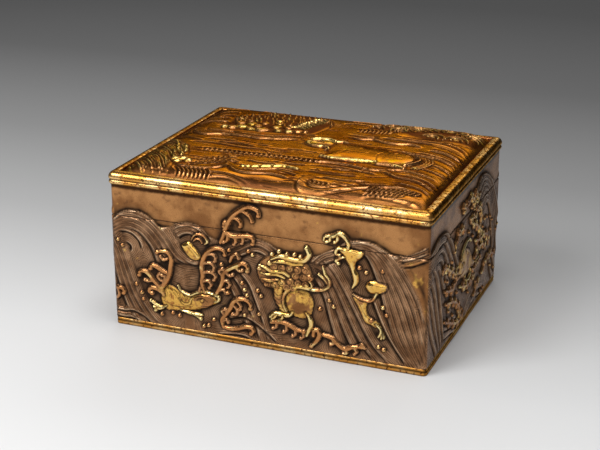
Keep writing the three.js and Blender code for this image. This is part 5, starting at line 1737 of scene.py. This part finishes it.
@dataclass(frozen=True)
class GiltMoulding:
    """Cast copper moulding, fire-gilt and worn through to dark copper in specks."""

    gold: str = "#d99846"
    pale: str = "#f3c885"
    bare: str = "#86502a"
    deep: str = "#160b05"
    rough: float = 0.27
    edge_tint: str = "#f6dcae"

    def build(self) -> Material:
        """Makes the material."""
        r = Recipe("fire-gilt copper moulding, worn", "recess", "wear")
        recess, wear = r.marks
        cloud, fleck, speck = r.patches(7, 4, 0.2), r.patches(1.3, 6, 0.4), r.patches(0.45, 3, 0.8)
        colour = r.add(Step.MIX, r.add(Step.EASE, cloud, 0.42, 0.66), self.gold, self.pale)
        bare = r.add(Step.EASE, r.add(Step.TIMES_PLUS, wear, 0.22, fleck), 0.53, 0.68)
        colour = r.add(Step.MIX, bare, colour, self.bare)
        # Black flecks where the gilding wears through, dirt and painted shade in the quirks, and dark mitre
        # joints
        black = r.add(Step.EASE, r.add(Step.TIMES_PLUS, fleck, 0.5, speck), 0.86, 0.93)
        dirt_and_shade = r.add(Step.LARGER, r.add(Step.TIMES, black, 0.9), r.add(Step.TIMES, recess, 0.95))
        colour = r.add(Step.MIX, dirt_and_shade, colour, self.deep)
        rough = r.add(Step.TIMES_PLUS, dirt_and_shade, 0.3, r.add(Step.TIMES_PLUS, fleck, 0.12, self.rough - 0.05))
        metal = r.add(Step.TIMES_PLUS, dirt_and_shade, -0.1, 1.0)
        height = r.add(Step.TIMES_PLUS, fleck, 0.01, r.add(Step.TIMES, r.patches(3.4, 2), 0.025))
        return r.surface({"Base Color": colour, "Roughness": rough, "Metallic": metal,
                          "Specular Tint": linear(self.edge_tint)}, height)


@dataclass(frozen=True)
class RussetPlate:
    """Polished russet copper plate in low relief, with gilding left on its rocks and ox."""

    russet: str = "#d48c49"
    russet_dark: str = "#a06237"
    # Crest colours: rubbed copper and burnished gold, each with a painted highlight
    rubbed: str = "#e6b07c"
    gold: str = "#cf9c3a"
    gold_pale: str = "#e8c478"
    deep: str = "#120803"
    rough: float = 0.25
    edge_tint: str = "#ecba82"
    along: Place = (7.0, 1.0, 1.0)

    def build(self) -> Material:
        """Makes the material."""
        r = Recipe("russet copper plate, polished and part gilt", "crest", "recess", "gilt", "soot", "ink")
        crest, recess, gilt, soot, ink = r.marks
        cloud, speck = r.patches(16, 4, 0.1), r.patches(0.45, 3, 0.3)
        streak, flow = r.patches(1.3, 5, 0.6, self.along), r.patches(6.0, 2, 0.45, self.along)
        colour = r.add(Step.MIX, r.add(Step.EASE, cloud, 0.35, 0.68), self.russet, self.russet_dark)
        drawn = r.add(Step.TIMES, r.add(Step.EASE, streak, 0.48, 0.68), 0.6)
        colour = r.add(Step.MIX, drawn, colour, self.russet_dark)
        # Rubbed copper with a painted highlight on the crests
        colour = r.add(Step.MIX, r.add(Step.TIMES, crest, 0.4), colour, self.rubbed)
        # Lines engraved along the streams, in patches and not on the gold
        line = r.add(Step.EASE, r.add(Step.SINE, r.add(Step.TIMES, flow, 32.0)), 0.66, 0.88)
        line = r.add(Step.TIMES, line, r.add(Step.EASE, r.patches(13, 3, 0.9), 0.42, 0.56))
        line = r.add(Step.TIMES, line, r.add(Step.TIMES_PLUS, gilt, -4.0, 1.0, use_clamp=True))
        patch = r.add(Step.TIMES_PLUS, r.patches(4.0, 5, 0.66), 1.8, -0.9)
        left = r.add(Step.EASE, r.add(Step.TIMES_PLUS, gilt, 1.15, patch), 0.4, 0.75)
        colour = r.add(Step.MIX, left, colour, r.add(Step.MIX, crest, self.gold, self.gold_pale))
        # Dirt and painted shade, from each place where they gather, with its strength there: painted shade in
        # the hollows and along the rail, dirt and painted shade in the chased lines, dirt in the pits,
        # scratches and engraved lines
        dirt_and_shade = r.add(Step.TIMES, recess, 0.85)
        pits, scratches = r.add(Step.EASE, speck, 0.68, 0.76), r.add(Step.EASE, streak, 0.62, 0.72)
        for place, strength in ((soot, 0.85), (ink, 0.95), (pits, 0.4), (scratches, 0.55), (line, 0.8)):
            dirt_and_shade = r.add(Step.LARGER, dirt_and_shade, r.add(Step.TIMES, place, strength))
        colour = r.add(Step.MIX, dirt_and_shade, colour, self.deep)
        rough = r.add(Step.TIMES_PLUS, dirt_and_shade, 0.2, r.add(Step.TIMES_PLUS, streak, 0.16, self.rough - 0.08))
        metal = r.add(Step.TIMES_PLUS, dirt_and_shade, -0.08, 1.0)
        height = r.add(Step.TIMES_PLUS, speck, 0.01, r.add(Step.TIMES, streak, 0.07))
        height = r.add(Step.TIMES_PLUS, line, -0.12, height)
        return r.surface({"Base Color": colour, "Roughness": rough, "Metallic": metal,
                          "Specular Tint": linear(self.edge_tint)}, height)


@dataclass(frozen=True)
class PlainMetal:
    """Plain sheet metal: the gold-washed lining or the bare copper base."""

    name: str
    light: str
    dark: str
    rough: float
    brush: float = 0.01

    def build(self) -> Material:
        """Makes the material."""
        r = Recipe(self.name)
        cloud, brushed = r.patches(14, 4, 0.45), r.patches(0.5, 3, 0.15, (9.0, 9.0, 1.0))
        colour = r.add(Step.MIX, r.add(Step.EASE, cloud, 0.35, 0.7), self.light, self.dark)
        rough = r.add(Step.TIMES_PLUS, cloud, 0.16, self.rough - 0.08)
        return r.surface({"Base Color": colour, "Roughness": rough, "Metallic": 1.0},
                         r.add(Step.TIMES, brushed, self.brush))


@dataclass(frozen=True)
class Paper:
    """Matt pale paper with painted shade: it darkens away from the front as the light falls off.

    Each tone has its distance behind the box, in metres.
    """

    tones: tuple[tuple[float, str], ...] = (
        (-0.25, "#f2f2f2"), (-0.06, "#d6d6d6"), (0.06, "#ababab"), (0.18, "#898989"), (0.36, "#606060"),
        (0.6, "#484848"), (1.2, "#3c3c3c"),
    )

    def build(self) -> Material:
        """Makes the material."""
        r = Recipe("matt studio paper")
        first, last = self.tones[0][0], self.tones[-1][0]
        behind = r.add(Step.MINUS, r.add(Step.SPLIT, r.coords), first)
        ramp = add_node(r.tree, "ShaderNodeValToRGB",
                        {0: r.add(Step.OVER, behind, last - first, use_clamp=True)})
        stops = ramp.color_ramp.elements
        while len(stops) < len(self.tones):
            stops.new(0.5)
        for stop, (place, tone) in zip(stops, self.tones):
            stop.position = (place - first) / (last - first)
            stop.color = linear(tone)
        return r.surface({"Base Color": ramp.outputs[0], "Roughness": 0.8})


@dataclass
class Studio:
    """The pale sweep of paper, the soft lights and the camera, in metres.

    Each light has its name, place, width and height, and power in watts. The camera stands where a fit to the
    box's straight edges in the photograph puts it.
    """

    width: float = 5.0
    front: float = -2.5
    bend: float = 1.3
    rise: float = 2.0
    steps: int = 48
    lights: tuple[tuple[str, Place, tuple[float, float], float], ...] = (
        ("key_left", (-0.46, -0.68, 0.87), (0.5, 0.5), 7.4),
        ("front_soft", (0.1, -1.8, 0.75), (1.8, 0.9), 7.0),
        ("top_soft", (0.15, -0.2, 1.3), (0.8, 0.6), 10.0),
        ("back_soft", (-0.2, 1.0, 0.8), (1.0, 0.55), 3.4),
    )
    aim: Place = (0.0, 0.0, 0.03)
    grey: float = 0.07
    lens: float = 82.0
    camera_at: Place = (0.18998, -0.48247, 0.22801)
    camera_forward: Place = (-0.35132, 0.86766, -0.35177)
    camera_right: Place = (0.92723, 0.37450, -0.00232)

    def sweep(self) -> None:
        """Makes the paper, which curves up behind the box."""
        bm = bmesh.new()
        bmesh.ops.create_grid(bm, x_segments=2, y_segments=self.steps, size=1.0)
        for vert in bm.verts:
            t = (vert.co.y + 1) / 2
            if t < 0.5:
                y, z = self.front + (self.bend - self.front) * t * 2, 0.0
            else:
                angle = (t - 0.5) * math.pi
                y, z = self.bend + self.rise * math.sin(angle), self.rise * (1 - math.cos(angle))
            vert.co = (vert.co.x * self.width / 2, y, z)
        bmesh.ops.recalc_face_normals(bm, faces=bm.faces)
        for face in bm.faces:
            face.smooth = True
        as_object(bm, "paper_sweep", Paper().build(), 1.0)

    def lamp(self, name: str, place: Place, size: tuple[float, float], power: float) -> None:
        """Hangs one soft light that faces the aim.

        Args:
            name: its name.
            place: where it hangs.
            size: its width and height.
            power: in watts.
        """
        data = bpy.data.lights.new(name, "AREA")
        data.shape = "RECTANGLE"
        data.size, data.size_y = size
        data.energy = power
        made = bpy.data.objects.new(name, data)
        made.location = place
        made.rotation_euler = (Vector(self.aim) - Vector(place)).to_track_quat("-Z", "Y").to_euler()
        bpy.context.scene.collection.objects.link(made)

    def camera(self) -> None:
        """Sets up the camera where the photograph was taken from."""
        data = bpy.data.cameras.new("camera")
        data.sensor_width = 36.0
        data.lens = self.lens
        data.clip_start, data.clip_end = 0.01, 20.0
        made = bpy.data.objects.new("camera", data)
        forward, right = Vector(self.camera_forward).normalized(), Vector(self.camera_right).normalized()
        turn = Matrix((right, right.cross(forward), -forward)).transposed().to_4x4()
        made.matrix_world = Matrix.Translation(self.camera_at) @ turn
        bpy.context.scene.collection.objects.link(made)
        bpy.context.scene.camera = made

    def world(self) -> None:
        """Fills the room with even soft light."""
        world = bpy.data.worlds.new("studio")
        world.use_nodes = True
        tree = world.node_tree
        tree.nodes.clear()
        fill = add_node(tree, "ShaderNodeBackground", {"Color": (self.grey,) * 3 + (1.0,), "Strength": 1.0})
        add_node(tree, "ShaderNodeOutputWorld", {"Surface": fill.outputs[0]})
        bpy.context.scene.world = world

    def build(self) -> None:
        """Sets the stage."""
        self.sweep()
        for light in self.lights:
            self.lamp(*light)
        self.world()
        self.camera()
        bpy.context.scene.view_settings.view_transform = "Standard"
        LOG.info("set the stage")


def main() -> None:
    """Builds each sub-assembly in order, then the studio."""
    logging.basicConfig(level=logging.INFO, format="%(message)s")
    gilt = GiltMoulding().build()
    Walls(ChasedCopper().build()).build()
    Moulding("base_rail_", "box", base_section(), [(0.76, 1.7), (0.7, 0.0), (1.1, 3.0)], gilt).build()
    Moulding("lid_rail_", "lid", lid_section(), [(0.5, 60.6), (0.6, 58.6), (4.0, 62.6)], gilt).build()
    LidTop(RussetPlate().build()).build()
    InnerSheets(PlainMetal("gold-washed copper lining, satin", "#d0a765", "#b98d4c", 0.4).build(),
                PlainMetal("bare copper base plate, brown", "#8f6239", "#6d4526", 0.5).build()).build()
    Studio().build()


if __name__ == "__main__":
    main()
